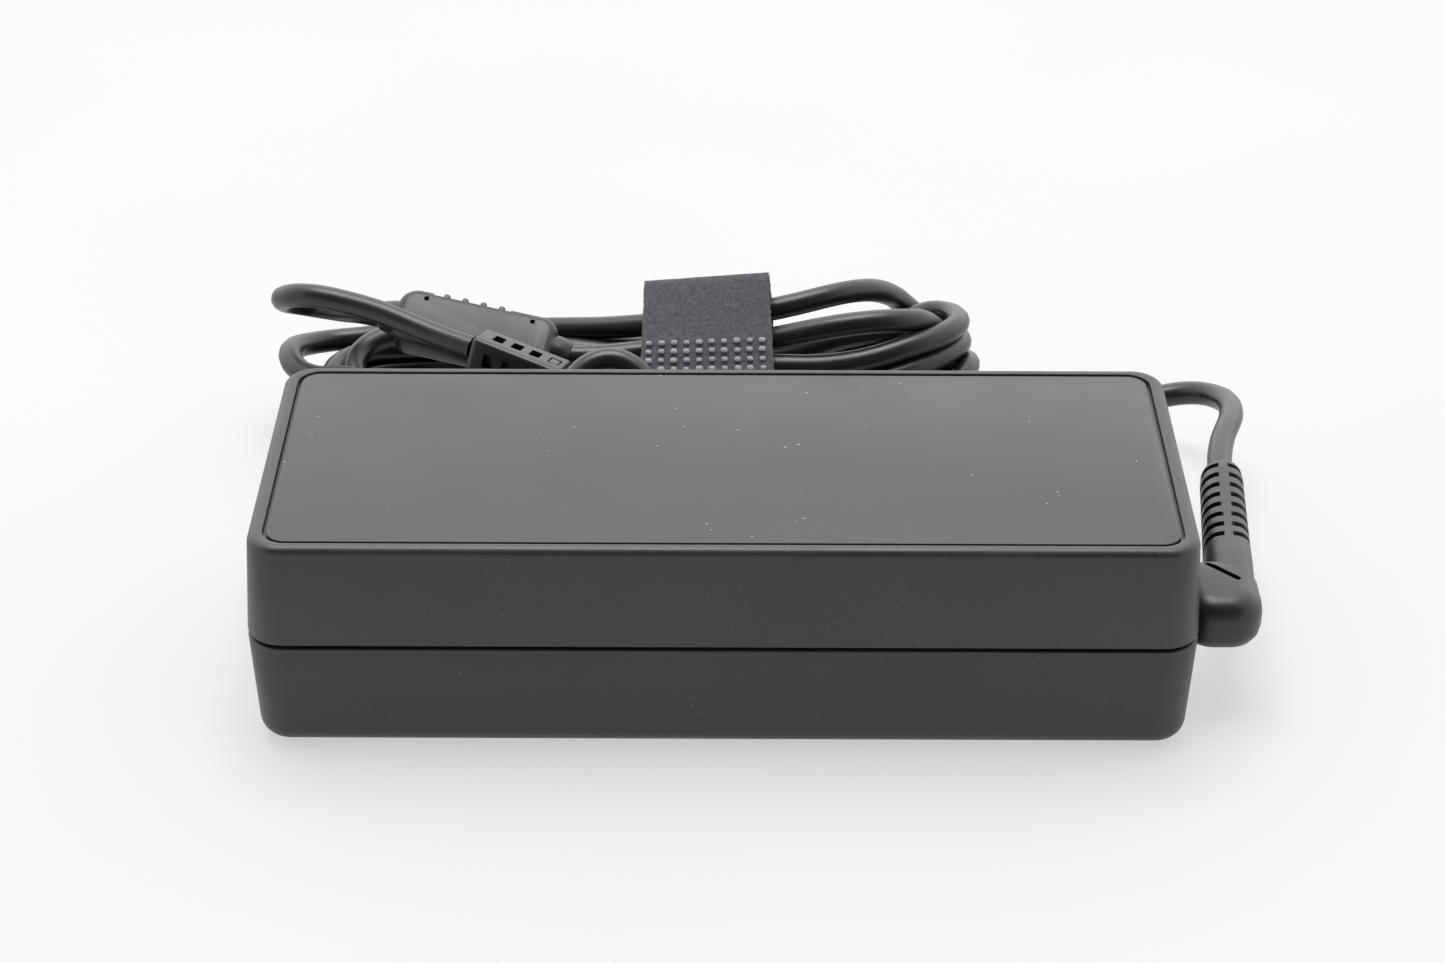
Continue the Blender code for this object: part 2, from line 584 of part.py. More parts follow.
def build_filter():
    length, width, height = FILTER_SIZE
    place = frame_matrix(FILTER_CENTRE, FILTER_DIRECTION, FILTER_FACE)
    pill = outline_mesh("filter_housing", [rounded_rectangle(length, width, 3.4)], height)
    housing = add_part("filter_housing", pill, "moulded_grip")
    bevel(housing, 1.3, 2, 50.0)
    housing.matrix_world = place
    waist = add_cutter("filter_grip_recess", box_mesh("filter_grip_recess", (14.0, 1.2, 20.0), (0, 0, 0)))
    waist.matrix_world = place @ Matrix.Translation(point((0, -width / 2, 0)))
    boolean(housing, waist)
    bumps = bmesh.new()
    for i in range(FILTER_BUMPS):
        made = bmesh.ops.create_cube(bumps, size=1.0)["verts"]
        x = (i - (FILTER_BUMPS - 1) / 2) * FILTER_BUMP_PITCH
        for vert in made:
            vert.co = point((x + vert.co.x * 1.1, -width / 2 + 0.9 + vert.co.y * 1.8, vert.co.z * (height - 2.4)))
    ribs = add_cutter("filter_ribs", finish_mesh("filter_ribs", bumps))
    ribs.matrix_world = place
    boolean(housing, ribs, "UNION")
    collar = add_cutter("filter_collar", rod_mesh("filter_collar", 3.0, 6.0, (length / 2 + FILTER_COLLAR - 3.0, 0, 0), "X", 16, 2.5))
    collar.matrix_world = place
    boolean(housing, collar, "UNION")
    bore = add_cutter("filter_bore", rod_mesh("filter_bore", 2.55, length - 6.0, (0, 0, 0), "X", 16))
    bore.matrix_world = place
    boolean(housing, bore)
    vent = add_cutter("filter_cord_bore", rod_mesh("filter_cord_bore", 1.0, length + 20.0, (0, 0, 0), "X", 12))
    vent.matrix_world = place
    boolean(housing, vent)
    core_outline = [(2.25 * math.cos(i * math.pi / 8), 2.25 * math.sin(i * math.pi / 8)) for i in range(16)]
    core_hole = [(0.8 * math.cos(i * math.pi / 8), 0.8 * math.sin(i * math.pi / 8)) for i in range(16)]
    core = add_part("filter_ferrite", outline_mesh("filter_ferrite", [core_outline, core_hole], length - 6.6), "ferrite")
    core.matrix_world = place @ Matrix(((0, 0, 1), (0, 1, 0), (-1, 0, 0))).to_4x4()


def build_plug():
    direction = Vector(PLUG_DIRECTION).normalized()
    start = Vector(PLUG_START)
    relief_length, relief_width, relief_height = RELIEF_SIZE
    relief_place = frame_matrix(start + direction * relief_length / 2, direction, PLUG_FACE)
    relief = add_part("plug_strain_relief", box_mesh("plug_strain_relief", RELIEF_SIZE), "moulded_grip")
    bevel(relief, 0.8, 2)
    relief.matrix_world = relief_place
    windows = bmesh.new()
    for i in range(3):
        x = -relief_length / 2 + 3.4 + i * RELIEF_WINDOW_PITCH
        for side in (-1, 1):
            made = bmesh.ops.create_cube(windows, size=1.0)["verts"]
            for vert in made:
                place = (x + vert.co.x * RELIEF_WINDOW[0], vert.co.y * RELIEF_WINDOW[1], side * 2.9 + vert.co.z * 3.4)
                vert.co = point(place)
    window_cutter = add_cutter("relief_windows", finish_mesh("relief_windows", windows))
    window_cutter.matrix_world = relief_place
    boolean(relief, window_cutter)
    mark = add_cutter("relief_mark", box_mesh("relief_mark", (1.7, 2.0, 0.5), (relief_length / 2 - 1.9, 0, relief_height / 2)))
    mark.matrix_world = relief_place
    boolean(relief, mark)

    body_centre = start + direction * (relief_length + GAP + PLUG_BODY[0] / 2)
    body_place = frame_matrix(body_centre, direction, PLUG_BODY_FACE)
    body = add_part("plug_body", box_mesh("plug_body", PLUG_BODY), "moulded_grip")
    bevel(body, 1.2, 2)
    body.matrix_world = body_place
    grooves = bmesh.new()
    for i in range(5):
        for side in (-1, 1):
            made = bmesh.ops.create_cube(grooves, size=1.0)["verts"]
            for vert in made:
                place = (-4.0 + i * 2.0 + vert.co.x * 0.8, side * PLUG_BODY[1] / 2 + vert.co.y * 1.0, vert.co.z * 4.0)
                vert.co = point(place)
    groove_cutter = add_cutter("plug_grip_grooves", finish_mesh("plug_grip_grooves", grooves))
    groove_cutter.matrix_world = body_place
    boolean(body, groove_cutter)

    tip_length, tip_width, tip_height = PLUG_TIP
    tip_centre = body_centre + direction * (PLUG_BODY[0] / 2 + GAP + tip_length / 2)
    tip_place = frame_matrix(tip_centre, direction, PLUG_BODY_FACE)
    stand_up = Matrix(((0, 0, 1), (0, 1, 0), (-1, 0, 0))).to_4x4()
    shell_outer = rounded_rectangle(tip_height, tip_width, 0.9, 3)
    shell_inner = rounded_rectangle(tip_height - 1.0, tip_width - 1.0, 0.5, 3)
    shell = add_part("plug_tip_shell", outline_mesh("plug_tip_shell", [shell_outer, shell_inner], tip_length), "plug_metal")
    shell.matrix_world = tip_place @ stand_up
    liner_outer = rounded_rectangle(tip_height - 1.0 - 2 * GAP, tip_width - 1.0 - 2 * GAP, 0.4, 3)
    liner_inner = rounded_rectangle(1.6, tip_width - 3.2, 0.4, 3)
    liner = add_part("plug_tip_insulator", outline_mesh("plug_tip_insulator", [liner_outer, liner_inner], tip_length - 0.8),
                     "plug_insulator")
    liner.matrix_world = tip_place @ Matrix.Translation(point((-0.4, 0, 0))) @ stand_up
    pin = add_part("plug_centre_contact", box_mesh("plug_centre_contact", (tip_length - 2.4, tip_width - 5.4, 0.8)), "contact_metal")
    bevel(pin, 0.2)
    pin.matrix_world = tip_place @ Matrix.Translation(point((-1.0, 0, 0)))


def build_transformer(centre_x):
    centre = (centre_x, 0.0, BOARD_TOP + 9.0)
    core = block("transformer_core", (23.0, 14.0, 17.6), centre, "ferrite")
    for side in (-1, 1):
        window = cutter_box(f"core_window_{side + 1}", (5.0, 30.0, 12.0), (centre_x + side * 6.0, 0.0, centre[2]))
        boolean(core, window)
    winding = block("transformer_winding", (16.4, 22.0, 11.2), centre, "winding_tape", 0.8)
    leg = cutter_box("winding_hole", (7.0 + 2 * GAP, 14.0 + 2 * GAP, 30.0), centre)
    boolean(winding, leg)


def torus(name, major, minor, centre, material_name):
    mesh = bpy.data.meshes.new(name)
    profile = bmesh.new()
    bmesh.ops.create_circle(profile, segments=10, radius=minor * MM)
    bmesh.ops.rotate(profile, verts=profile.verts, matrix=Matrix.Rotation(math.pi / 2, 3, "X"))
    bmesh.ops.translate(profile, verts=profile.verts, vec=point((major, 0, 0)))
    geometry = profile.verts[:] + profile.edges[:]
    bmesh.ops.spin(profile, geom=geometry, cent=(0, 0, 0), axis=(0, 0, 1), angle=2 * math.pi, steps=24, use_merge=True)
    bmesh.ops.remove_doubles(profile, verts=profile.verts, dist=0.000005)
    bmesh.ops.recalc_face_normals(profile, faces=profile.faces)
    profile.to_mesh(mesh)
    profile.free()
    obj = add_part(name, mesh, material_name)
    obj.location = point(centre)
    obj.rotation_euler.y = math.pi / 2
    return obj


def build_board():
    board_centre = (5.5, 0.0, BOARD_Z + BOARD_THICKNESS / 2)
    block("main_board", (103.0, 42.0, BOARD_THICKNESS), board_centre, "board_laminate", 0.3)
    block("insulating_tray", (116.0, 45.0, 0.6), (1.0, 0.0, 3.4), "insulating_sheet", 0.15)
    top = BOARD_TOP
    rod("fuse", 2.6, 9.0, (-42.2, 16.5, top + 2.7), "Y", "component_epoxy", 0.3, 16)
    block("x_capacitor", (9.0, 18.0, 14.0), (-34.5, 9.0, top + 7.0), "film_capacitor_case")
    torus("input_choke", 5.6, 2.9, (-35.0, -11.0, top + 8.6), "copper_winding")
    block("bridge_rectifier", (3.6, 19.0, 13.0), (-25.0, 8.0, top + 6.5), "component_epoxy")
    rod("bulk_capacitor", 8.8, 31.0, (-10.0, -11.0, top + 8.9), "X", "capacitor_sleeve", 0.8, 28)
    block("primary_heatsink", (30.0, 1.6, 17.0), (-6.0, 8.6, top + 8.5), "heatsink_aluminium", 0.3)
    block("switching_transistor", (10.0, 4.4, 15.0), (-8.0, 12.1, top + 7.5), "component_epoxy", 0.3)
    block("control_board", (22.0, 1.2, 11.0), (-6.0, 18.6, top + 5.5), "board_laminate", 0.2)
    build_transformer(22.0)
    rod("y_capacitor", 4.0, 3.4, (22.0, -17.5, top + 4.2), "Y", "ceramic_blue", 0.8, 20)
    block("secondary_heatsink", (1.6, 30.0, 17.0), (37.0, 0.0, top + 8.5), "heatsink_aluminium", 0.3)
    block("rectifier_transistor", (4.4, 10.0, 15.0), (40.4, 4.0, top + 7.5), "component_epoxy", 0.3)
    rod("output_capacitor_front", 4.0, 17.0, (49.5, -2.0, top + 8.6), "Z", "capacitor_sleeve", 0.5, 20)
    rod("output_capacitor_rear", 4.0, 17.0, (49.5, 8.0, top + 8.6), "Z", "capacitor_sleeve", 0.5, 20)
    torus("output_choke", 4.6, 2.2, (46.8, -13.2, top + 7.2), "copper_winding")
    block("heat_spreader", (104.0, 40.0, 0.8), (5.0, 0.0, 27.2), "heatsink_aluminium", 0.2)
    flange_x = CASE_LENGTH / 2 - 6.0 - GAP
    for name, shift, colour in (("positive", 1.4, "wire_red"), ("return", -1.4, "wire_black")):
        y = NECK_Y + shift
        route = ((flange_x, y, ELBOW_Z), (flange_x - 2.4, y, ELBOW_Z - 0.6),
                 (flange_x - 3.6, y + shift, (ELBOW_Z + top) / 2), (flange_x - 3.8, y + shift, top + 0.1))
        tube(f"output_lead_{name}", route, 1.8, colour, 2.5)


def main():
    build_shells()
    build_inlet()
    build_board()
    build_elbow()
    tube("cord_lead", LEAD_ROUTE, CORD_DIAMETER, "cord_pvc")
    build_hank_and_tie()
    tube("cord_tail_inner", TAIL_INNER_ROUTE, CORD_DIAMETER, "cord_pvc")
    build_filter()
    tube("cord_tail_outer", TAIL_OUTER_ROUTE, CORD_DIAMETER, "cord_pvc")
    build_plug()
    for obj in PARTS.objects:
        if obj.type == "MESH":
            obj.data.shade_smooth()
            obj.data.set_sharp_from_angle(angle=math.radians(35))


clear_scene()
PARTS = new_collection("laptop_power_adapter")
CUTTERS = new_collection("cutters")
main()
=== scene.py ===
"""Looks of a laptop power adapter: moulded case, ribbed elbow, cord tied in a hank, filter block and plug."""

import math
import random

import bmesh
import bpy
import numpy as np
from mathutils import Matrix, Vector


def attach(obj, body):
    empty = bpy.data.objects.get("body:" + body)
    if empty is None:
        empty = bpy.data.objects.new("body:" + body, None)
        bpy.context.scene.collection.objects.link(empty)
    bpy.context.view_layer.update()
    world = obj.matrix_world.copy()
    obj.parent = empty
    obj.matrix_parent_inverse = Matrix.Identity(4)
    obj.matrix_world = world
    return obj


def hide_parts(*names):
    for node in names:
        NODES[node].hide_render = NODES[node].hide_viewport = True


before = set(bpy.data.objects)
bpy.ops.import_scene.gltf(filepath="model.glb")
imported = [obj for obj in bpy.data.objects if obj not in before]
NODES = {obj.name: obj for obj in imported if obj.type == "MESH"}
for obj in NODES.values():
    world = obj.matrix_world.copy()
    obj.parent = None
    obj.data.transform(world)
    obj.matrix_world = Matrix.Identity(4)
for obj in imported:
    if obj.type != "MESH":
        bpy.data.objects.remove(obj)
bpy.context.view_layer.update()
random.seed(7)

MM = 0.001

# ---------------------------------------------------------------- sizes, in millimetres
CASE_LENGTH, CASE_WIDTH, CASE_HEIGHT = 128.0, 52.0, 31.5
PARTING_Z, SEAM, DRAFT = 16.5, 0.45, 0.9
CASE_CORNER, TOP_FILLET, BOTTOM_FILLET = 5.2, 1.1, 2.8
END_BORDER, SIDE_BORDER = 2.0, 1.65
LABEL_RECESS, LABEL_CORNER = 0.75, 3.2
LABEL_GAP = 0.5                 # all round, between the label and the recess's wall
RECESS_LENGTH = CASE_LENGTH - 2 * DRAFT - 2 * END_BORDER
RECESS_WIDTH = CASE_WIDTH - 2 * DRAFT - 2 * SIDE_BORDER
INLET_BODY = (17.0, 19.6, 13.2)
INLET_Z = 13.6
CORD = 3.7
CORD_STEP = 3.2                 # between the points that the cord settles with
CORD_CLEAR = 1.03 * CORD
FLOOR_CLEAR = 0.1
# How near each other points 2, 4 and 6 steps apart may come: the chords of the tightest bend
STIFFNESS = ((2, 6.12, 0.4), (4, 10.6, 0.12), (6, 12.4, 0.12))
SETTLE_ROUNDS, HOME_PULL, SMOOTHING, LENGTH_PULL = 300, 0.14, 0.1, 0.25
# Beside the case's back wall, and below its top, the cord keeps off the wall
CASE_REACH_X, CASE_REACH_Z, CASE_BACK_Y = 66, 33, 28.15

# ---------------------------------------------------------------- the cord's route, in millimetres
LEAD = (
    (73.3, 25.6, 14.1), (73.9, 30.6, 14.1), (75.2, 36.4, 13.9), (77.2, 42.2, 13.3), (78.1, 47.4, 12.6),
    (77.4, 52.3, 11.5), (73.9, 56.8, 10.1), (68.5, 57.8, 8.7), (61.5, 56.0, 6.8), (53.5, 50.8, 4.8),
    (46.0, 44.0, 2.8), (38.5, 37.8, 2.0), (28.0, 32.6, 1.9), (16.0, 30.2, 1.9), (6.0, 29.2, 2.2),
    (-1.0, 29.0, 5.2), (-5.3, 30.6, 11.8), (-9.0, 34.6, 19.6), (-12.9, 38.1, 23.9), (-17.3, 39.4, 25.5),
    (-21.6, 37.8, 23.7), (-25.3, 34.0, 19.0), (-28.8, 30.4, 11.2), (-33.2, 28.9, 5.0), (-40.0, 29.6, 2.2),
    (-48.0, 33.0, 1.9), (-56.0, 39.0, 1.9), (-62.4, 46.4, 1.9), (-65.6, 54.0, 1.9),
)
# Each left end: front (y, z), tip (x, y, z), back (y, z)
LEFT_ENDS = (
    ((48.0, 1.9), (-66.6, 62.0, 1.9), (75.0, 1.9)),
    ((52.0, 1.9), (-62.4, 62.0, 1.9), (71.2, 1.9)),
    ((48.4, 5.6), (-66.2, 62.0, 5.6), (74.8, 5.5)),
    ((52.4, 5.8), (-62.0, 62.5, 5.6), (71.0, 5.5)),
    ((51.2, 9.4), (-62.4, 62.5, 9.2), (73.0, 8.8)),
    ((52.6, 9.6), (-58.6, 63.0, 11.6), (70.4, 13.0)),
    ((55.4, 11.8), (-69.2, 65.5, 12.0), (75.0, 9.4)),
)
# Each low right end: back (y, z), tip (x, y, z), front (y, z)
RIGHT_ENDS = (
    ((75.6, 1.9), (38.6, 61.5, 1.9), (47.6, 1.9)),
    ((71.6, 1.9), (34.4, 61.5, 1.9), (51.6, 1.9)),
    ((75.4, 5.6), (38.8, 61.5, 5.6), (48.4, 5.6)),
    ((74.8, 8.0), (38.6, 64.0, 12.4), (52.4, 9.2)),
)
# The three upper right ends, which spring open
UPPER_RIGHT_ENDS = (
    ((20.0, 70.0, 9.4), (28.5, 72.0, 9.8), (34.2, 71.6, 11.4), (37.4, 67.4, 13.2), (36.2, 62.2, 15.0),
     (30.5, 56.4, 15.0), (24.2, 53.8, 13.9), (15.0, 53.8, 12.6)),
    ((15.0, 67.0, 12.4), (22.6, 69.6, 13.0), (28.0, 72.0, 13.6), (32.6, 73.8, 14.6), (36.0, 71.2, 16.0),
     (37.1, 66.4, 17.2), (34.6, 60.6, 18.4), (28.2, 56.2, 17.8), (21.3, 54.2, 16.5), (14.6, 54.4, 15.4)),
    ((13.0, 65.6, 21.2), (18.4, 67.8, 21.6), (23.2, 71.2, 20.5), (26.6, 74.8, 17.8), (29.3, 77.4, 14.4),
     (32.4, 77.2, 11.3), (35.0, 73.4, 10.6), (35.7, 68.6, 12.8), (34.3, 64.2, 16.8), (31.2, 60.8, 20.2),
     (26.0, 58.3, 21.7), (20.0, 57.4, 21.6), (13.8, 57.7, 20.2)),
)
# Where each run passes through the tie, as (y, z) at the tie's left and right edges
TIE_EDGES = (-12.8, 7.2)
BACK_LEFT = ((67.6, 3.9), (63.7, 3.9), (67.6, 7.7), (63.7, 7.8), (67.8, 11.6), (64.0, 12.2), (66.6, 16.3))
BACK_RIGHT = ((67.6, 3.9), (63.7, 3.9), (67.6, 7.7), (63.7, 7.8), (67.8, 11.2), (64.0, 12.0), (64.6, 20.2))
FRONT_RIGHT = ((50.4, 3.9), (54.3, 3.9), (50.6, 7.7), (54.4, 7.8), (54.2, 11.7), (55.2, 15.4), (58.2, 18.4))
FRONT_LEFT = ((50.4, 3.9), (54.3, 3.9), (50.6, 7.7), (54.4, 7.8), (51.8, 11.2), (55.6, 11.9), (57.2, 16.6))
TAIL_INNER = ((-19.4, 56.7, 16.0), (-25.2, 57.1, 15.85))
FILTER_RUN = ((-25.2, 57.1, 15.85), (-53.6, 63.3, 19.5))
TAIL_OUTER = (
    (-57.6, 64.6, 19.7), (-61.6, 67.1, 18.9), (-65.2, 69.0, 18.5), (-68.4, 68.4, 19.2), (-69.6, 65.8, 20.8),
    (-68.0, 62.6, 23.1), (-63.5, 60.6, 24.4), (-59.4, 59.2, 24.3), (-53.3, 57.4, 23.4), (-45.6, 54.2, 21.5),
    (-38.65, 50.95, 20.6),
)


def left_end(k):
    """The points of a left end: five round half an oval, from its front run to its back run."""
    (front_y, front_z), (x, y, z), (back_y, back_z) = LEFT_ENDS[k]
    r = (back_y - front_y) / 2
    return [(x + 1.1 * r, front_y, front_z),
            (x + 0.32 * r, front_y + 0.28 * r, 0.8 * front_z + 0.2 * z),
            (x, y, z),
            (x + 0.32 * r, back_y - 0.28 * r, 0.8 * back_z + 0.2 * z),
            (x + 1.1 * r, back_y, back_z)]


def right_end(k):
    """The points of a right end, from its back run to its front run."""
    if k >= len(RIGHT_ENDS):
        return list(UPPER_RIGHT_ENDS[k - len(RIGHT_ENDS)])
    (back_y, back_z), (x, y, z), (front_y, front_z) = RIGHT_ENDS[k]
    r = (back_y - front_y) / 2
    return [(x - 1.1 * r, back_y, back_z),
            (x - 0.32 * r, back_y - 0.28 * r, 0.8 * back_z + 0.2 * z),
            (x, y, z),
            (x - 0.32 * r, front_y + 0.28 * r, 0.8 * front_z + 0.2 * z),
            (x - 1.1 * r, front_y, front_z)]


def cord_waypoints():
    """The cord's route from the elbow, through the hank and the filter block, to the plug."""
    points = list(LEAD)
    for k in range(len(LEFT_ENDS)):
        points += left_end(k) if k else left_end(k)[2:]
        points += [(TIE_EDGES[0], *BACK_LEFT[k]), (TIE_EDGES[1], *BACK_RIGHT[k])]
        points += right_end(k)
        points += [(TIE_EDGES[1], *FRONT_RIGHT[k]), (TIE_EDGES[0], *FRONT_LEFT[k])]
    points += TAIL_INNER
    start, end = (np.array(p) for p in FILTER_RUN)
    points += [tuple(start + (end - start) * share) for share in (0.25, 0.5, 0.75, 1.0)]
    points += TAIL_OUTER
    return np.array(points, float)


def smooth_line(points, per=24):
    """Points on the centripetal Catmull-Rom curve through the given ones."""
    out = []
    for i in range(len(points) - 1):
        p1, p2 = points[i], points[i + 1]
        p0 = points[i - 1] if i else 2 * p1 - p2
        p3 = points[i + 2] if i + 2 < len(points) else 2 * p2 - p1
        t1 = max(np.linalg.norm(p1 - p0), 1e-6) ** 0.5
        t2 = t1 + max(np.linalg.norm(p2 - p1), 1e-6) ** 0.5
        t3 = t2 + max(np.linalg.norm(p3 - p2), 1e-6) ** 0.5
        for s in np.linspace(t1, t2, per, endpoint=False):
            a1 = (t1 - s) / t1 * p0 + s / t1 * p1
            a2 = (t2 - s) / (t2 - t1) * p1 + (s - t1) / (t2 - t1) * p2
            a3 = (t3 - s) / (t3 - t2) * p2 + (s - t2) / (t3 - t2) * p3
            b1 = (t2 - s) / t2 * a1 + s / t2 * a2
            b2 = (t3 - s) / (t3 - t1) * a2 + (s - t1) / (t3 - t1) * a3
            out.append((t2 - s) / (t2 - t1) * b1 + (s - t1) / (t2 - t1) * b2)
    out.append(points[-1])
    return np.array(out)


def evenly_spaced(line, step):
    travelled = np.r_[0, np.cumsum(np.linalg.norm(np.diff(line, axis=0), axis=1))]
    places = np.linspace(0, travelled[-1], int(round(travelled[-1] / step)) + 1)
    return np.stack([np.interp(places, travelled, line[:, i]) for i in range(3)], 1)


def settle_cord(home, held):
    """The cord's points after its strands have pushed each other apart and come to rest on the floor."""
    p = home.copy()
    i, j = np.triu_indices(len(p), 3)
    apart = (j - i) * CORD_STEP > 2.2 * CORD
    i, j = i[apart], j[apart]
    lengths = np.linalg.norm(np.diff(home, axis=0), axis=1)
    for _ in range(SETTLE_ROUNDS):
        p += (home - p) * HOME_PULL
        gap = p[j] - p[i]
        distance = np.linalg.norm(gap, axis=1)
        hit = distance < CORD_CLEAR
        if hit.any():
            near, far = i[hit], j[hit]
            outward = gap[hit] / np.maximum(distance[hit], 1e-6)[:, None]
            push = outward * ((CORD_CLEAR - distance[hit]) / 2)[:, None]
            move = np.zeros_like(p)
            count = np.zeros(len(p))
            np.add.at(move, far, push)
            np.add.at(move, near, -push)
            np.add.at(count, far, 1)
            np.add.at(count, near, 1)
            p += move / np.maximum(count, 1)[:, None]
        for apart_by, reach, share in STIFFNESS:
            gap = p[apart_by:] - p[:-apart_by]
            distance = np.linalg.norm(gap, axis=1)
            push = gap / distance[:, None] * (np.maximum(reach - distance, 0) * share)[:, None]
            p[:-apart_by] -= push
            p[apart_by:] += push
        p[1:-1] += (0.5 * (p[:-2] + p[2:]) - p[1:-1]) * SMOOTHING
        edges = np.diff(p, axis=0)
        size = np.linalg.norm(edges, axis=1)
        pull = edges / size[:, None] * ((size - lengths) * LENGTH_PULL)[:, None]
        p[:-1] += pull
        p[1:] -= pull
        p[:, 2] = np.maximum(p[:, 2], CORD / 2 + FLOOR_CLEAR)
        beside_case = (np.abs(p[:, 0]) < CASE_REACH_X) & (p[:, 2] < CASE_REACH_Z)
        p[beside_case, 1] = np.maximum(p[beside_case, 1], CASE_BACK_Y)
        p[held] = home[held]
    return p


def cord_points():
    """The settled centreline; its ends and the stretch inside the filter block stay where they are."""
    home = evenly_spaced(smooth_line(cord_waypoints()), CORD_STEP)
    start, end = (np.array(p) for p in FILTER_RUN)
    along = np.clip((home - start) @ (end - start) / ((end - start) @ (end - start)), 0, 1)
    off = np.linalg.norm(home - (start + along[:, None] * (end - start)), axis=1)
    inside = (off < 0.5) & (np.arange(len(home)) > 0.85 * len(home))
    held = [0, 1] + list(np.where(inside)[0]) + [len(home) - 2, len(home) - 1]
    return settle_cord(home, held)


# ---------------------------------------------------------------- materials
def new_material(name, colour, roughness, metallic=0.0, specular=0.5, sheen=0.0, coat=0.0):
    made = bpy.data.materials.new(name)
    made.use_nodes = True
    shader = made.node_tree.nodes["Principled BSDF"]
    shader.inputs["Base Color"].default_value = (*colour, 1.0)
    shader.inputs["Roughness"].default_value = roughness
    shader.inputs["Metallic"].default_value = metallic
    shader.inputs["Specular IOR Level"].default_value = specular
    shader.inputs["Sheen Weight"].default_value = sheen
    shader.inputs["Coat Weight"].default_value = coat
    return made, made.node_tree, shader


def noise(tree, coordinates, scale, detail=3.0, rough=0.55):
    node = tree.nodes.new("ShaderNodeTexNoise")
    node.inputs["Scale"].default_value = scale
    node.inputs["Detail"].default_value = detail
    node.inputs["Roughness"].default_value = rough
    tree.links.new(coordinates, node.inputs["Vector"])
    return node.outputs["Fac"]


def spread(tree, value, low, high, from_low=0.3, from_high=0.7):
    node = tree.nodes.new("ShaderNodeMapRange")
    node.inputs["From Min"].default_value = from_low
    node.inputs["From Max"].default_value = from_high
    node.inputs["To Min"].default_value = low
    node.inputs["To Max"].default_value = high
    tree.links.new(value, node.inputs["Value"])
    return node.outputs["Result"]


def mixed(tree, factor, first, second):
    """A colour mix; first and second are colours or sockets."""
    node = tree.nodes.new("ShaderNodeMix")
    node.data_type = "RGBA"
    tree.links.new(factor, node.inputs["Factor"])
    for socket, value in ((node.inputs[6], first), (node.inputs[7], second)):
        if isinstance(value, tuple):
            socket.default_value = (*value, 1.0)
        else:
            tree.links.new(value, socket)
    return node.outputs[2]


def bumped(tree, shader, height, strength, distance):
    node = tree.nodes.new("ShaderNodeBump")
    node.inputs["Strength"].default_value = strength
    node.inputs["Distance"].default_value = distance
    tree.links.new(height, node.inputs["Height"])
    tree.links.new(node.outputs["Normal"], shader.inputs["Normal"])


def object_coordinates(tree):
    return tree.nodes.new("ShaderNodeTexCoord").outputs["Object"]


DUST_COLOUR = (0.62, 0.62, 0.6)


def scaled(colour, share):
    return tuple(c * share for c in colour)


def moulded_plastic(name, colour, roughness, grain, grain_depth, dust=0.0, dust_size=900, wear=0.25,
                    specular=0.5):
    """Plastic with a spark-eroded grain, a slow change of shade, edge wear and specks of dust."""
    made, tree, shader = new_material(name, colour, roughness, specular=specular)
    place = object_coordinates(tree)
    fine = noise(tree, place, grain, 2.0, 0.6)
    slow = noise(tree, place, 45, 3.0)
    shade = mixed(tree, spread(tree, slow, 0, 1), scaled(colour, 0.9), scaled(colour, 1.1))
    grained = mixed(tree, spread(tree, fine, 0, 1, 0.35, 0.65), scaled(colour, 0.8), scaled(colour, 1.22))
    body = tree.nodes.new("ShaderNodeMix")
    body.data_type = "RGBA"
    body.inputs["Factor"].default_value = 0.5
    tree.links.new(shade, body.inputs[6])
    tree.links.new(grained, body.inputs[7])
    finish = body.outputs[2]
    if wear:
        pointed = tree.nodes.new("ShaderNodeNewGeometry").outputs["Pointiness"]
        finish = mixed(tree, spread(tree, pointed, 0, wear, 0.53, 0.6), finish, scaled(colour, 2.2))
    if dust:
        cells = tree.nodes.new("ShaderNodeTexVoronoi")
        cells.inputs["Scale"].default_value = dust_size
        tree.links.new(place, cells.inputs["Vector"])
        speck = spread(tree, cells.outputs["Distance"], dust, 0, 0.06, 0.11)
        sparse = spread(tree, noise(tree, place, dust_size * 0.37, 0.0), 0, 1, 0.66, 0.7)
        both = tree.nodes.new("ShaderNodeMath")
        both.operation = "MULTIPLY"
        tree.links.new(speck, both.inputs[0])
        tree.links.new(sparse, both.inputs[1])
        finish = mixed(tree, both.outputs[0], finish, DUST_COLOUR)
    tree.links.new(finish, shader.inputs["Base Color"])
    tree.links.new(spread(tree, slow, roughness - 0.05, roughness + 0.06), shader.inputs["Roughness"])
    bumped(tree, shader, fine, 0.55, grain_depth)
    return made


def cord_material():
    """Soft PVC, satin, with faint drag lines along it and a dusty bloom."""
    colour = (0.010, 0.010, 0.011)
    made, tree, shader = new_material("cord_pvc_look", colour, 0.35, specular=0.62)
    place = object_coordinates(tree)
    slow = noise(tree, place, 60, 4.0)
    fine = noise(tree, place, 1500, 2.0)
    bloom = mixed(tree, spread(tree, slow, 0, 0.6), colour, (0.018, 0.018, 0.0195))
    tree.links.new(bloom, shader.inputs["Base Color"])
    tree.links.new(spread(tree, slow, 0.30, 0.40), shader.inputs["Roughness"])
    bumped(tree, shader, fine, 0.25, 0.00002)
    return made


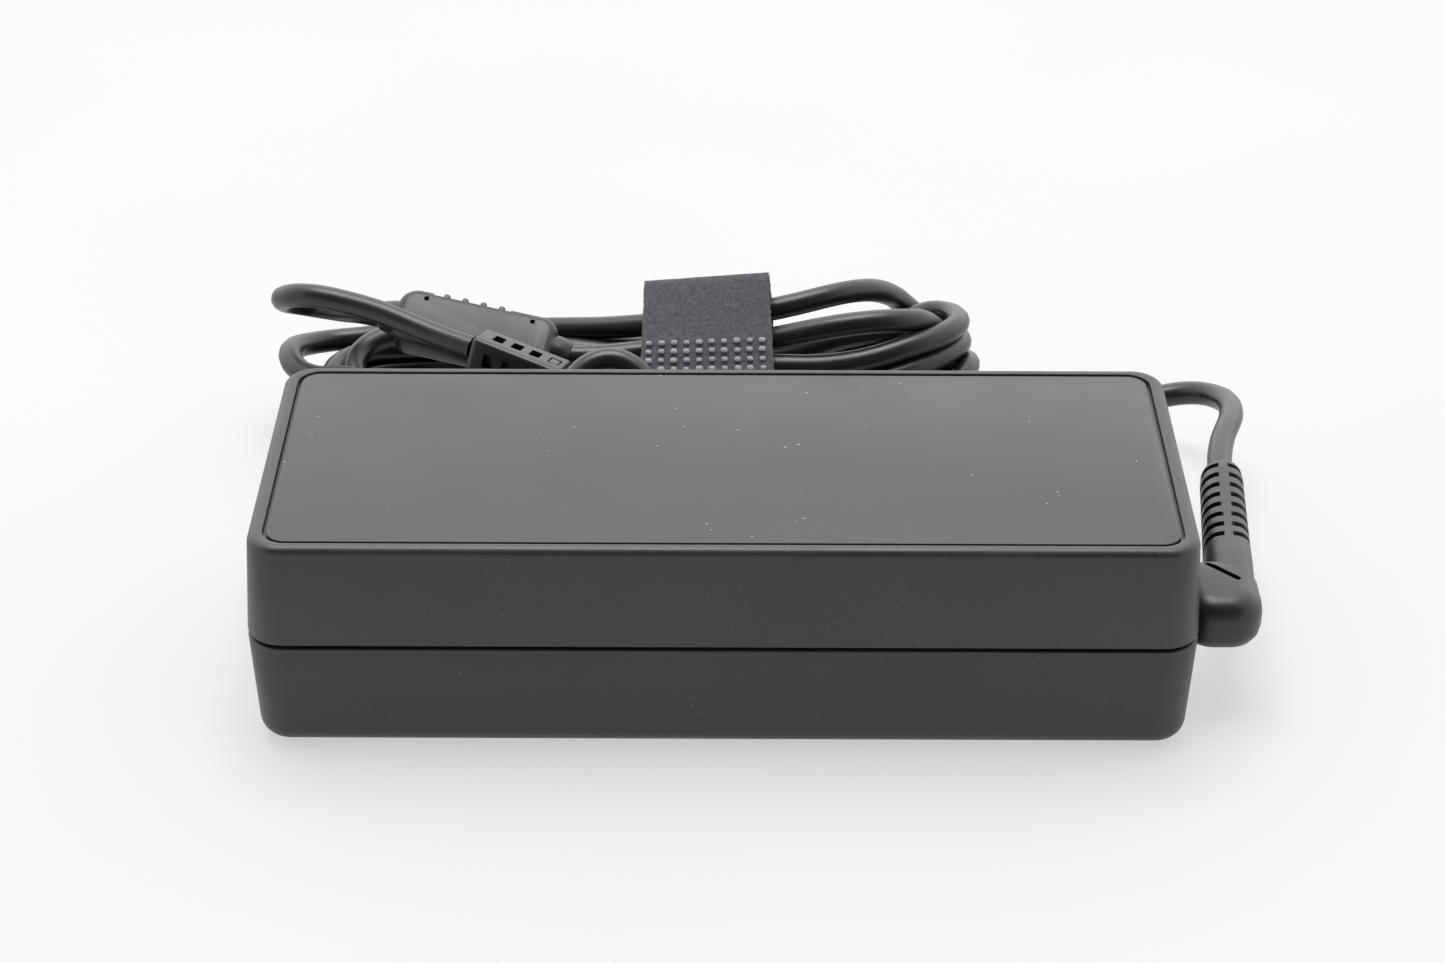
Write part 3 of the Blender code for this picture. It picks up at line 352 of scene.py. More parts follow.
def felt_material():
    """The looped felt of a hook-and-loop strap: short random fibres."""
    colour = (0.105, 0.107, 0.115)
    made, tree, shader = new_material("strap_felt", colour, 0.95, specular=0.2, sheen=0.5)
    shader.inputs["Sheen Roughness"].default_value = 0.6
    shader.inputs["Sheen Tint"].default_value = (0.6, 0.6, 0.62, 1.0)
    place = object_coordinates(tree)
    fibre = noise(tree, place, 1700, 5.0, 0.75)
    tuft = noise(tree, place, 480, 3.0, 0.6)
    shade = mixed(tree, spread(tree, fibre, 0, 1, 0.3, 0.7), scaled(colour, 0.5), scaled(colour, 1.6))
    shade = mixed(tree, spread(tree, tuft, 0, 0.45), shade, scaled(colour, 1.25))
    tree.links.new(shade, shader.inputs["Base Color"])
    bumped(tree, shader, fibre, 0.9, 0.00022)
    return made


def metal_material(name, colour, roughness):
    made, tree, shader = new_material(name, colour, roughness, metallic=1.0)
    place = object_coordinates(tree)
    slow = noise(tree, place, 300, 4.0)
    shade = mixed(tree, spread(tree, slow, 0, 1), scaled(colour, 0.82), colour)
    tree.links.new(shade, shader.inputs["Base Color"])
    tree.links.new(spread(tree, slow, roughness - 0.06, roughness + 0.1), shader.inputs["Roughness"])
    bumped(tree, shader, noise(tree, place, 2400, 2.0), 0.2, 0.00001)
    return made


def plain_material(name, colour, roughness, scale=700):
    """For parts inside the case: a moulded or coated surface with a mottled shade and light bump."""
    made, tree, shader = new_material(name, colour, roughness)
    place = object_coordinates(tree)
    mottle = noise(tree, place, scale, 4.0)
    tree.links.new(mixed(tree, spread(tree, mottle, 0, 1), scaled(colour, 0.82), scaled(colour, 1.12)),
                   shader.inputs["Base Color"])
    tree.links.new(spread(tree, mottle, roughness - 0.07, roughness + 0.08), shader.inputs["Roughness"])
    bumped(tree, shader, mottle, 0.3, 0.00005)
    return made


CASE_LOOK = moulded_plastic("case_plastic_look", (0.0185, 0.020, 0.023), 0.42, 2100, 0.00004,
                            dust=0.2, specular=0.64)
LABEL_LOOK = moulded_plastic("label_film_look", (0.022, 0.023, 0.026), 0.42, 2900, 0.00005,
                             dust=0.6, dust_size=700, wear=0, specular=0.62)
GRIP_LOOK = moulded_plastic("moulded_grip_look", (0.011, 0.011, 0.012), 0.36, 2300, 0.00003,
                            dust=0.25, specular=0.6)
INLET_LOOK = moulded_plastic("inlet_plastic_look", (0.018, 0.018, 0.02), 0.42, 1800, 0.00002)
HOOK_LOOK = plain_material("strap_hook_look", (0.36, 0.36, 0.38), 0.55, 900)
CORD_LOOK = cord_material()
FELT_LOOK = felt_material()

SLOT_LOOKS = {
    "case_plastic": CASE_LOOK, "label_film": LABEL_LOOK, "cord_pvc": CORD_LOOK, "moulded_grip": GRIP_LOOK,
    "tie_fabric": FELT_LOOK, "inlet_plastic": INLET_LOOK,
    "contact_metal": metal_material("contact_metal_look", (0.75, 0.74, 0.70), 0.25),
    "plug_metal": metal_material("plug_metal_look", (0.70, 0.70, 0.72), 0.28),
    "heatsink_aluminium": metal_material("heatsink_look", (0.72, 0.73, 0.74), 0.35),
    "copper_winding": metal_material("copper_look", (0.72, 0.30, 0.14), 0.35),
    "plug_insulator": plain_material("plug_insulator_look", (0.55, 0.42, 0.06), 0.5),
    "board_laminate": plain_material("board_laminate_look", (0.10, 0.22, 0.08), 0.5, 400),
    "ferrite": plain_material("ferrite_look", (0.07, 0.07, 0.075), 0.6, 900),
    "winding_tape": plain_material("winding_tape_look", (0.75, 0.62, 0.10), 0.45, 300),
    "component_epoxy": plain_material("component_epoxy_look", (0.03, 0.03, 0.03), 0.5),
    "film_capacitor_case": plain_material("film_capacitor_look", (0.65, 0.55, 0.12), 0.5),
    "capacitor_sleeve": plain_material("capacitor_sleeve_look", (0.03, 0.04, 0.09), 0.35),
    "ceramic_blue": plain_material("ceramic_blue_look", (0.08, 0.20, 0.50), 0.4),
    "insulating_sheet": plain_material("insulating_sheet_look", (0.80, 0.80, 0.76), 0.4),
    "wire_black": plain_material("wire_black_look", (0.03, 0.03, 0.03), 0.45),
    "wire_red": plain_material("wire_red_look", (0.55, 0.03, 0.03), 0.45),
    "wire_green": plain_material("wire_green_look", (0.10, 0.40, 0.08), 0.45),
}
for node in NODES.values():
    for place in node.material_slots:
        place.material = SLOT_LOOKS[place.material.name.split(".")[0]]


# ---------------------------------------------------------------- mesh helpers, in millimetres
SHARP_ANGLE = 35.0


def point(values):
    return Vector(values) * MM


def rounded_ring(length, width, radius, z, centre=(0.0, 0.0), steps=10):
    """A level rounded rectangle, anticlockwise seen from above."""
    ring = []
    for cx, cy, start in ((1, 1, 0.0), (-1, 1, 0.5), (-1, -1, 1.0), (1, -1, 1.5)):
        for i in range(steps + 1):
            angle = math.pi * (start + 0.5 * i / steps)
            ring.append((centre[0] + cx * (length / 2 - radius) + radius * math.cos(angle),
                         centre[1] + cy * (width / 2 - radius) + radius * math.sin(angle), z))
    return ring


def lofted(name, rings, look, place=None):
    """A closed body through rings of the same number of points, with its two ends capped."""
    bm = bmesh.new()
    made = [[bm.verts.new(point(p)) for p in ring] for ring in rings]
    for lower, upper in zip(made, made[1:]):
        for i in range(len(lower)):
            j = (i + 1) % len(lower)
            bm.faces.new((lower[i], lower[j], upper[j], upper[i]))
    bm.faces.new(list(reversed(made[0])))
    bm.faces.new(made[-1])
    bmesh.ops.recalc_face_normals(bm, faces=bm.faces)
    mesh = bpy.data.meshes.new(name)
    bm.to_mesh(mesh)
    bm.free()
    return finished(name, mesh, look, place)


def finished(name, mesh, look, place=None, sharp=SHARP_ANGLE):
    """A linked object from a mesh, smooth but for the edges sharper than an angle in degrees."""
    if place is not None:
        mesh.transform(place)
    mesh.shade_smooth()
    mesh.set_sharp_from_angle(angle=math.radians(sharp))
    obj = bpy.data.objects.new(name, mesh)
    bpy.context.scene.collection.objects.link(obj)
    mesh.materials.clear()
    mesh.materials.append(look)
    return obj


def slab_rings(size, corner, fillet, centre=(0.0, 0.0, 0.0), steps=8):
    """Rings of a box with round corners whose upper and lower rims are filleted."""
    length, width, height = size
    levels = []
    for i in range(steps // 2 + 1):
        angle = math.pi / 2 * i / (steps // 2)
        levels.append((-height / 2 + fillet * (1 - math.sin(angle)), fillet * (1 - math.cos(angle))))
    levels = list(reversed(levels))
    levels += [(-z, inset) for z, inset in reversed(levels)]
    return [rounded_ring(length - 2 * inset, width - 2 * inset, max(corner - inset, 0.15), centre[2] + z,
                         centre[:2], steps) for z, inset in sorted(levels)]


def slab(name, size, corner, fillet, look, centre=(0.0, 0.0, 0.0)):
    return lofted(name, slab_rings(size, corner, fillet, centre), look)


def cut(obj, cutters, operation="DIFFERENCE"):
    """Applies booleans with the cutters, which are removed."""
    for cutter in cutters:
        modifier = obj.modifiers.new("cut", "BOOLEAN")
        modifier.operation = operation
        modifier.solver = "EXACT"
        modifier.object = cutter
    bpy.context.view_layer.update()
    evaluated = obj.evaluated_get(bpy.context.evaluated_depsgraph_get())
    mesh = bpy.data.meshes.new_from_object(evaluated)
    obj.modifiers.clear()
    look = obj.data.materials[0]
    obj.data = mesh
    mesh.materials.clear()
    mesh.materials.append(look)
    mesh.polygons.foreach_set("material_index", [0] * len(mesh.polygons))
    mesh.shade_smooth()
    mesh.set_sharp_from_angle(angle=math.radians(SHARP_ANGLE))
    for cutter in cutters:
        bpy.data.objects.remove(cutter, do_unlink=True)


def box(size, centre, place=None, corner=0.05, fillet=0.0):
    """A cutter: a box with round upright edges and, where a fillet is given, round rims."""
    length, width, height = size
    rings = [rounded_ring(length, width, corner, centre[2] + z * height / 2, centre[:2], 3) for z in (-1, 1)]
    if fillet:
        rings = slab_rings(size, corner, fillet, centre, 6)
    return lofted("cutter", rings, CASE_LOOK, place)


def settle(obj, slot_name, *replaced):
    """Gives a piece its body, and hides the CAD nodes that it replaces."""
    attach(obj, "root")
    if replaced:
        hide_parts(*replaced)
    return obj


# ---------------------------------------------------------------- case
def case_ring(z, inset):
    """The outside of the case at a height, moved in by an inset."""
    reach = CASE_HEIGHT - PARTING_Z if z > PARTING_Z else PARTING_Z
    lean = DRAFT * abs(z - PARTING_Z) / reach + inset
    corner = max(CASE_CORNER - lean, 0.4)
    return rounded_ring(CASE_LENGTH - 2 * lean, CASE_WIDTH - 2 * lean, corner, z, steps=12)


def rim_arc(z_end, radius, upward, count=7):
    """(z, inset) pairs of the fillet that ends at z_end."""
    pairs = []
    for i in range(count):
        angle = math.pi / 2 * i / (count - 1)
        rise = radius * (1 - math.sin(angle))
        pairs.append((z_end - rise if upward else z_end + rise, radius * (1 - math.cos(angle))))
    return pairs


def build_upper_case():
    """The upper half as a closed skin: up its inside, round the seam, up its outside and into the recess."""
    seam_z = PARTING_Z + SEAM / 2
    inside = ((28.0, 3.4), (seam_z + 0.4, 2.8), (seam_z - 2.0, 3.1), (seam_z - 2.0, 2.5), (seam_z, 2.3))
    lip = ((seam_z, 0.3), (seam_z + 0.1, 0.09), (seam_z + 0.32, 0.0))
    outside = rim_arc(CASE_HEIGHT, TOP_FILLET, True)
    rings = [case_ring(z, inset) for z, inset in (*inside, *lip, *outside)]
    for z, shrink in ((CASE_HEIGHT, -0.22), (CASE_HEIGHT - 0.06, -0.06), (CASE_HEIGHT - 0.22, 0.0),
                      (CASE_HEIGHT - LABEL_RECESS, 0.03), (CASE_HEIGHT - LABEL_RECESS, 0.5)):
        rings.append(rounded_ring(RECESS_LENGTH - 2 * shrink, RECESS_WIDTH - 2 * shrink,
                                  LABEL_CORNER - shrink, z, steps=12))
    upper = lofted("upper_case", rings, CASE_LOOK)
    cut(upper, [inlet_cutter(), leg_cutter()])
    return settle(upper, "case_plastic", "upper_shell")


def build_lower_case():
    seam_z = PARTING_Z - SEAM / 2
    outside = reversed(rim_arc(0.0, BOTTOM_FILLET, False))
    lip = ((seam_z - 0.32, 0.0), (seam_z - 0.1, 0.09), (seam_z, 0.3))
    inside = ((seam_z, 1.9), (seam_z - 6.0, 2.0), (4.0, 2.2), (2.2, 3.6))
    rings = [case_ring(z, inset) for z, inset in (*outside, *lip, *inside)]
    lower = lofted("lower_case", rings, CASE_LOOK)
    cut(lower, [inlet_cutter(), leg_cutter()])
    return settle(lower, "case_plastic", "lower_shell")


WALL_OPENING_DEPTH = 8.0
INLET_GAP = 0.3
LEG_SIZE = (11.3, 13.6, 8.2)
LEG_CENTRE = (68.2, -10.8, 14.2)
LEG_CORNER, LEG_FILLET = 4.6, 3.1
LEG_GAP, LEG_OPENING_CORNER = 0.08, 3.2


def inlet_cutter():
    size = (WALL_OPENING_DEPTH, INLET_BODY[1] + 2 * INLET_GAP, INLET_BODY[2] + 2 * INLET_GAP)
    return box(size, (-CASE_LENGTH / 2 + 1.0, 0.0, INLET_Z))


def leg_cutter():
    size = (WALL_OPENING_DEPTH, LEG_SIZE[1] + 2 * LEG_GAP, LEG_SIZE[2] + 2 * LEG_GAP)
    return box(size, (CASE_LENGTH / 2 - 1.5, *LEG_CENTRE[1:]), None, LEG_OPENING_CORNER, LEG_FILLET)


def build_label():
    low, high = CASE_HEIGHT - LABEL_RECESS + 0.02, CASE_HEIGHT - 0.1
    levels = ((low, 0.0), (high - 0.12, 0.0), (high - 0.03, 0.04), (high, 0.14))
    rings = []
    for z, inset in levels:
        shrink = LABEL_GAP + inset
        rings.append(rounded_ring(RECESS_LENGTH - 2 * shrink, RECESS_WIDTH - 2 * shrink,
                                  LABEL_CORNER - shrink, z, steps=12))
    label = lofted("label_panel", rings, LABEL_LOOK)
    return settle(label, "label_film", "label_film")


# ---------------------------------------------------------------- elbow
BOOT_START, BOOT_END = (70.9, 0.0), (73.3, 25.0)
BOOT_Z = 14.1
# y, half width, half height, roundness exponent
BOOT_SECTIONS = (
    (-10.0, 3.34, 4.16, 3.4), (-6.5, 3.4, 4.14, 3.4), (-3.0, 3.4, 4.1, 3.2), (4.0, 3.32, 3.65, 2.7),
    (14.0, 3.24, 3.35, 2.4), (21.6, 3.16, 3.16, 2.25), (23.2, 3.02, 3.02, 2.2), (24.2, 2.75, 2.75, 2.1),
    (24.8, 2.4, 2.4, 2.0), (25.0, 2.1, 2.1, 2.0),
)
BOOT_SIDES, BOOT_STEP = 72, 0.5
SLOT_FIRST_Y, SLOT_PITCH, SLOT_COUNT, SLOT_DEPTH = 22.2, 2.89, 8, 1.15
SLOT_HALF, SLOT_WALL = 0.62, 0.18      # half a slot's width at its mouth, and how far its wall slopes
SPINE_HALF, SPINE_WALL = 0.75, 0.35
SLIT_SIZE, SLIT_PLACE, SLIT_TURN = (6.0, 0.9, 2.2), (68.8, -8.6), math.atan2(-4.3, 4.2)


def section_at(y):
    """Half width, half height and exponent of the strain relief's outline."""
    table = np.array(BOOT_SECTIONS)
    return [float(np.interp(y, table[:, 0], table[:, i])) for i in (1, 2, 3)]


def build_elbow():
    """The ribbed strain relief, joined to the leg that turns into the case."""
    slots = [SLOT_FIRST_Y - i * SLOT_PITCH for i in range(SLOT_COUNT)]
    places = set(np.round(np.arange(BOOT_SECTIONS[0][0], BOOT_END[1] + 0.01, BOOT_STEP), 3))
    near_slot = (0.0, 0.3, 0.42, 0.5, 0.56, 0.64, 0.8)
    for y in slots:
        places.update(round(y + side * step, 3) for side in (-1, 1) for step in near_slot)
    round_end = (23.2, 23.7, 24.2, 24.6, 24.8, 24.92)
    places.update(round_end)
    slope = (BOOT_END[0] - BOOT_START[0]) / (BOOT_END[1] - BOOT_START[1])
    rings = []
    for y in sorted(places):
        half_width, half_height, power = section_at(y)
        nearest = min(abs(y - s) for s in slots)
        depth = SLOT_DEPTH * min(1.0, max(0.0, (SLOT_HALF - nearest) / SLOT_WALL))
        ring = []
        for i in range(BOOT_SIDES):
            angle = 2 * math.pi * i / BOOT_SIDES
            c, s = math.cos(angle), math.sin(angle)
            x = half_width * math.copysign(abs(c) ** (2 / power), c)
            z = half_height * math.copysign(abs(s) ** (2 / power), s)
            away = min(1.0, max(0.0, (abs(x) - SPINE_HALF) / SPINE_WALL))
            size = math.hypot(x, z)
            share = (size - depth * away) / size
            ring.append((BOOT_START[0] + slope * y + x * share, y, BOOT_Z + z * share))
        rings.append(ring)
    elbow = lofted("output_elbow_moulding", rings, GRIP_LOOK)
    leg = slab("leg", LEG_SIZE, LEG_CORNER, LEG_FILLET, GRIP_LOOK, LEG_CENTRE)
    cut(elbow, [leg], "UNION")
    slit_place = Matrix.Translation(point((*SLIT_PLACE, LEG_CENTRE[2] + LEG_SIZE[2] / 2)))
    slit = box(SLIT_SIZE, (0, 0, 0), slit_place @ Matrix.Rotation(SLIT_TURN, 4, "Z"), 0.3)
    cut(elbow, [slit])
    return settle(elbow, "moulded_grip", "output_elbow")


# ---------------------------------------------------------------- filter block and plug
def frame_matrix(origin, direction, face):
    """A place in the scene, with X along a direction and Z as near as it can be to a face's direction."""
    x = Vector(direction).normalized()
    y = Vector(face).cross(x).normalized()
    return Matrix.Translation(point(origin)) @ Matrix((x, y, x.cross(y))).transposed().to_4x4()


FILTER_SIZE = (25.8, 9.4, 6.2)
FILTER_CENTRE, FILTER_DIRECTION, FILTER_FACE = (-38.9, 60.1, 17.8), (-25.0, 5.4, 3.2), (0.0, -0.5, 0.86)
FILTER_CORNER, FILTER_FILLET = 3.0, 1.5
GRIP_NOTCH, GRIP_NOTCH_X = (12.8, 1.5), 1.6
RIDGE_COUNT, RIDGE_FIRST_X, RIDGE_PITCH = 4, 5.7, 2.97
# How far each station of the filter's collar is past the block's end, and its radius
COLLAR = ((-1.5, 2.9), (0.6, 2.75), (2.2, 2.3), (2.6, 1.95))
DOT_RADIUS, DOT_X, DOT_Y = 0.42, 8.6, -2.9
PLUG_START, PLUG_DIRECTION = (-38.3, 50.8, 20.5), (33.5, -11.7, -8.3)
PLUG_FACE, PLUG_BODY_FACE = (0.0, 0.2, 0.98), (0.0, 0.35, 0.94)
RELIEF_SIZE = (14.8, 6.2, 5.8)
WINDOW_COUNT, WINDOW_FIRST, WINDOW_PITCH = 3, 3.4, 3.05
FRAME_FROM_END = 2.1            # the square outline moulded near the sleeve's plug end
PLUG_BODY = (22.5, 10.4, 6.2)
GROOVE_COUNT, GROOVE_FIRST_X, GROOVE_PITCH = 5, -4.0, 2.2
PLUG_JOINT_GAP = 0.3


def turned_rings(profile, sides=32):
    """Rings of a body of revolution along X, from (x, radius) pairs."""
    angles = [2 * math.pi * i / sides for i in range(sides)]
    return [[(x, r * math.cos(angle), r * math.sin(angle)) for angle in angles] for x, r in profile]


def dot_cutter(x, face_z):
    """A small round pit in the filter block's face."""
    angles = [2 * math.pi * i / 16 for i in range(16)]
    rings = [[(x + DOT_RADIUS * math.cos(a), DOT_Y + DOT_RADIUS * math.sin(a), z) for a in angles]
             for z in (face_z - 0.7, face_z + 0.5)]
    return lofted("dot", rings, GRIP_LOOK)


def build_filter():
    length, width, height = FILTER_SIZE
    place = frame_matrix(FILTER_CENTRE, FILTER_DIRECTION, FILTER_FACE)
    block = slab("filter_block", FILTER_SIZE, FILTER_CORNER, FILTER_FILLET, GRIP_LOOK)
    cut(block, [box((*GRIP_NOTCH, 20.0), (GRIP_NOTCH_X, -width / 2, 0), None, 0.3)])
    joined = []
    for i in range(RIDGE_COUNT):
        ridge_centre = (RIDGE_FIRST_X - RIDGE_PITCH * i, -width / 2 + 1.1, 0)
        joined.append(box((1.0, 2.2, height - 0.7), ridge_centre, None, 0.4, 0.2))
    for side in (1, -1):
        profile = [(side * (length / 2 + past), radius) for past, radius in COLLAR]
        joined.append(lofted("collar", turned_rings(profile), GRIP_LOOK))
    cut(block, joined, "UNION")
    cut(block, [dot_cutter(x, height / 2) for x in (-DOT_X, DOT_X)])
    block.data.transform(place)
    return settle(block, "moulded_grip", "filter_housing")


def build_plug():
    """The square sleeve with its windows, and the plug's grip in line with it."""
    direction = Vector(PLUG_DIRECTION).normalized()
    start = Vector(PLUG_START)
    relief = slab("plug_relief", RELIEF_SIZE, 0.9, 0.8, GRIP_LOOK)
    top = RELIEF_SIZE[2] / 2
    windows = []
    for i in range(WINDOW_COUNT):
        x = -RELIEF_SIZE[0] / 2 + WINDOW_FIRST + i * WINDOW_PITCH
        windows += [box((1.75, 2.3, 2.6), (x, 0, side * top), None, 0.25) for side in (-1, 1)]
        windows += [box((1.75, 2.2, 2.2), (x, side * RELIEF_SIZE[1] / 2, 0), None, 0.25) for side in (-1, 1)]
    frame_x = RELIEF_SIZE[0] / 2 - FRAME_FROM_END
    cut(relief, windows + [box((1.9, 2.3, 0.5), (frame_x, 0, top), None, 0.3)])
    island = slab("island", (1.45, 1.85, 0.8), 0.25, 0.1, GRIP_LOOK, (frame_x, 0, top - 0.42))
    cut(relief, [island], "UNION")
    relief.data.transform(frame_matrix(start + direction * RELIEF_SIZE[0] / 2, direction, PLUG_FACE))
    settle(relief, "moulded_grip", "plug_strain_relief")
    body = slab("plug_grip", PLUG_BODY, 1.6, 1.3, GRIP_LOOK)
    groove = (0.8, 0.9, PLUG_BODY[2] - 2.0)
    grooves = [box(groove, (GROOVE_FIRST_X + GROOVE_PITCH * i, side * PLUG_BODY[1] / 2, 0), None, 0.2)
               for i in range(GROOVE_COUNT) for side in (-1, 1)]
    cut(body, grooves)
    centre = start + direction * (RELIEF_SIZE[0] + PLUG_JOINT_GAP + PLUG_BODY[0] / 2)
    body.data.transform(frame_matrix(centre, direction, PLUG_BODY_FACE))
    settle(body, "moulded_grip", "plug_body")
    return relief, body


# ---------------------------------------------------------------- cord
def build_cord():
    points = cord_points()
    curve = bpy.data.curves.new("output_cord", "CURVE")
    curve.dimensions = "3D"
    curve.bevel_depth = CORD * MM / 2
    curve.bevel_resolution = 4
    curve.resolution_u = 3
    curve.use_fill_caps = True
    spline = curve.splines.new("BEZIER")
    spline.bezier_points.add(len(points) - 1)
    for target, place in zip(spline.bezier_points, points):
        target.co = point(place)
        target.handle_left_type = "AUTO"
        target.handle_right_type = "AUTO"
    curve.materials.append(CORD_LOOK)
    obj = bpy.data.objects.new("output_cord", curve)
    bpy.context.scene.collection.objects.link(obj)
    return settle(obj, "cord_pvc", "cord_lead", "cord_hank", "cord_tail_inner", "cord_tail_outer")


# ---------------------------------------------------------------- tie
STRAP_THICKNESS = 1.0
STRAP_LEFT, STRAP_RIGHT = -12.9, 7.7
# The strap's middle line as (y, z), from its inner end round to its free end
STRAP_LINE = (
    (61.0, 24.2), (62.8, 25.0), (64.6, 24.6), (67.6, 22.4), (69.9, 19.0), (70.4, 12.0), (70.2, 3.5),
    (69.4, 1.5), (67.5, 0.75), (59.0, 0.7), (50.8, 0.75), (48.3, 1.6), (47.3, 3.8), (47.2, 9.0),
    (48.4, 12.6), (52.6, 17.2), (57.2, 21.8), (61.2, 25.7), (62.0, 26.4),
)
HOOK_PITCH_X, HOOK_PITCH_FACE = 1.98, 1.4
HOOK_COLUMNS, HOOK_ROWS = 10, 8
HOOK_TOP_Y = 54.6
HOOK_THINNESS = 0.78            # a hook's height up the strap, against its width


def strap_point(line, travelled, s, x):
    """A point on the strap's middle surface, and its outward normal, s along it and x across it."""
    y, z = (float(np.interp(s, travelled, line[:, i])) for i in (0, 1))
    y2, z2 = (float(np.interp(s + 0.2, travelled, line[:, i])) for i in (0, 1))
    y1, z1 = (float(np.interp(s - 0.2, travelled, line[:, i])) for i in (0, 1))
    along = Vector((0, y2 - y1, z2 - z1)).normalized()
    out = Vector((0, along.z, -along.y)) * -1
    share = (x - STRAP_LEFT) / (STRAP_RIGHT - STRAP_LEFT)
    raised = min(1.0, max(0.0, (z - 12.0) / 14.0))
    lean = 0.045 * (z - 16.0)
    return Vector((x + lean * (1 - 2.8 * share), y, z + 1.6 * share * raised)), out


def build_tie():
    line = smooth_line(np.array(STRAP_LINE), 10)
    travelled = np.r_[0, np.cumsum(np.linalg.norm(np.diff(line, axis=0), axis=1))]
    steps, across = 170, 40
    bm = bmesh.new()
    layers = []
    for side in (-1, 1):
        grid = []
        for i in range(steps + 1):
            s = travelled[-1] * i / steps
            row = []
            for j in range(across + 1):
                x = STRAP_LEFT + (STRAP_RIGHT - STRAP_LEFT) * j / across
                middle, out = strap_point(line, travelled, s, x)
                edge = j in (0, across) or i in (0, steps)
                fuzz = random.uniform(-0.05, 0.05)
                place = middle + out * (side * (STRAP_THICKNESS / 2 - (0.12 if edge else 0.0)) + fuzz)
                if j in (0, across):
                    place.x += random.uniform(-0.09, 0.09)
                row.append(bm.verts.new(place * MM))
            grid.append(row)
        layers.append(grid)
    inner, outer = layers
    for i in range(steps):
        for j in range(across):
            bm.faces.new((outer[i][j], outer[i][j + 1], outer[i + 1][j + 1], outer[i + 1][j]))
            bm.faces.new((inner[i][j], inner[i + 1][j], inner[i + 1][j + 1], inner[i][j + 1]))
        for j in (0, across):
            bm.faces.new((outer[i][j], outer[i + 1][j], inner[i + 1][j], inner[i][j]))
    for j in range(across):
        for i in (0, steps):
            bm.faces.new((outer[i][j], outer[i][j + 1], inner[i][j + 1], inner[i][j]))
    bmesh.ops.recalc_face_normals(bm, faces=bm.faces)
    mesh = bpy.data.meshes.new("cable_strap")
    bm.to_mesh(mesh)
    bm.free()
    strap = settle(finished("cable_strap", mesh, FELT_LOOK, None, 60), "tie_fabric", "cable_tie")
    first = float(np.interp(HOOK_TOP_Y, line[-60:, 0], travelled[-60:]))
    hooks = bmesh.new()
    for row in range(HOOK_ROWS):
        for column in range(HOOK_COLUMNS):
            x = STRAP_LEFT + 1.15 + column * HOOK_PITCH_X + random.uniform(-0.05, 0.05)
            s = first - row * HOOK_PITCH_FACE + random.uniform(-0.05, 0.05)
            middle, out = strap_point(line, travelled, s, x)
            base = middle + out * (STRAP_THICKNESS / 2 - 0.1)
            add_hook(hooks, base, out, random.uniform(0.85, 1.1))
    mesh = bpy.data.meshes.new("strap_hooks")
    hooks.to_mesh(mesh)
    hooks.free()
    moulded = settle(finished("strap_hooks", mesh, HOOK_LOOK, None, 50), "tie_fabric")
    return strap, moulded


def add_hook(bm, base, out, size):
    """One moulded hook: a square stem with a rounded, slightly wider head."""
    across = Vector((1, 0, 0))
    up = out.cross(across).normalized()
    rings = []
    for height, half in ((0.0, 0.36), (0.28, 0.34), (0.36, 0.52), (0.5, 0.5), (0.6, 0.3)):
        ring = []
        for i in range(8):
            angle = math.pi * (i + 0.5) / 4
            a = math.copysign(abs(math.cos(angle)) ** 0.6, math.cos(angle))
            b = math.copysign(abs(math.sin(angle)) ** 0.6, math.sin(angle))
            aside = (across * a + up * b * HOOK_THINNESS) * half
            ring.append(bm.verts.new((base + (out * height + aside) * size) * MM))
        rings.append(ring)
    for low, high in zip(rings, rings[1:]):
        for i in range(8):
            bm.faces.new((low[i], low[(i + 1) % 8], high[(i + 1) % 8], high[i]))
    bm.faces.new(rings[-1])
    bm.faces.new(list(reversed(rings[0])))


# ---------------------------------------------------------------- camera, lights and floor
CAMERA_PLACE, CAMERA_LENS = (-0.00017, -0.3772, 0.2513), 78.85
CAMERA_DOWN, CAMERA_ROLL = 30.72, 0.22          # degrees
KEY_PLACE, KEY_SIZE, KEY_POWER = (-0.05, 0.2, 1.1), 0.6, 7.5
FLOOR_SIZE, FLOOR_CORNER, FLOOR_GLOW = 6000, 500, 0.55


def sky_part(tree, direction, towards, angles, strengths):
    """A strength that changes between two cosines of the angle from a direction."""
    cosine = tree.nodes.new("ShaderNodeVectorMath")
    cosine.operation = "DOT_PRODUCT"
    cosine.inputs[1].default_value = towards
    tree.links.new(direction, cosine.inputs[0])
    fade = tree.nodes.new("ShaderNodeMapRange")
    fade.interpolation_type = "SMOOTHSTEP"
    for socket, value in zip(("From Min", "From Max", "To Min", "To Max"), (*angles, *strengths)):
        fade.inputs[socket].default_value = value
    tree.links.new(cosine.outputs["Value"], fade.inputs["Value"])
    return fade.outputs["Result"]


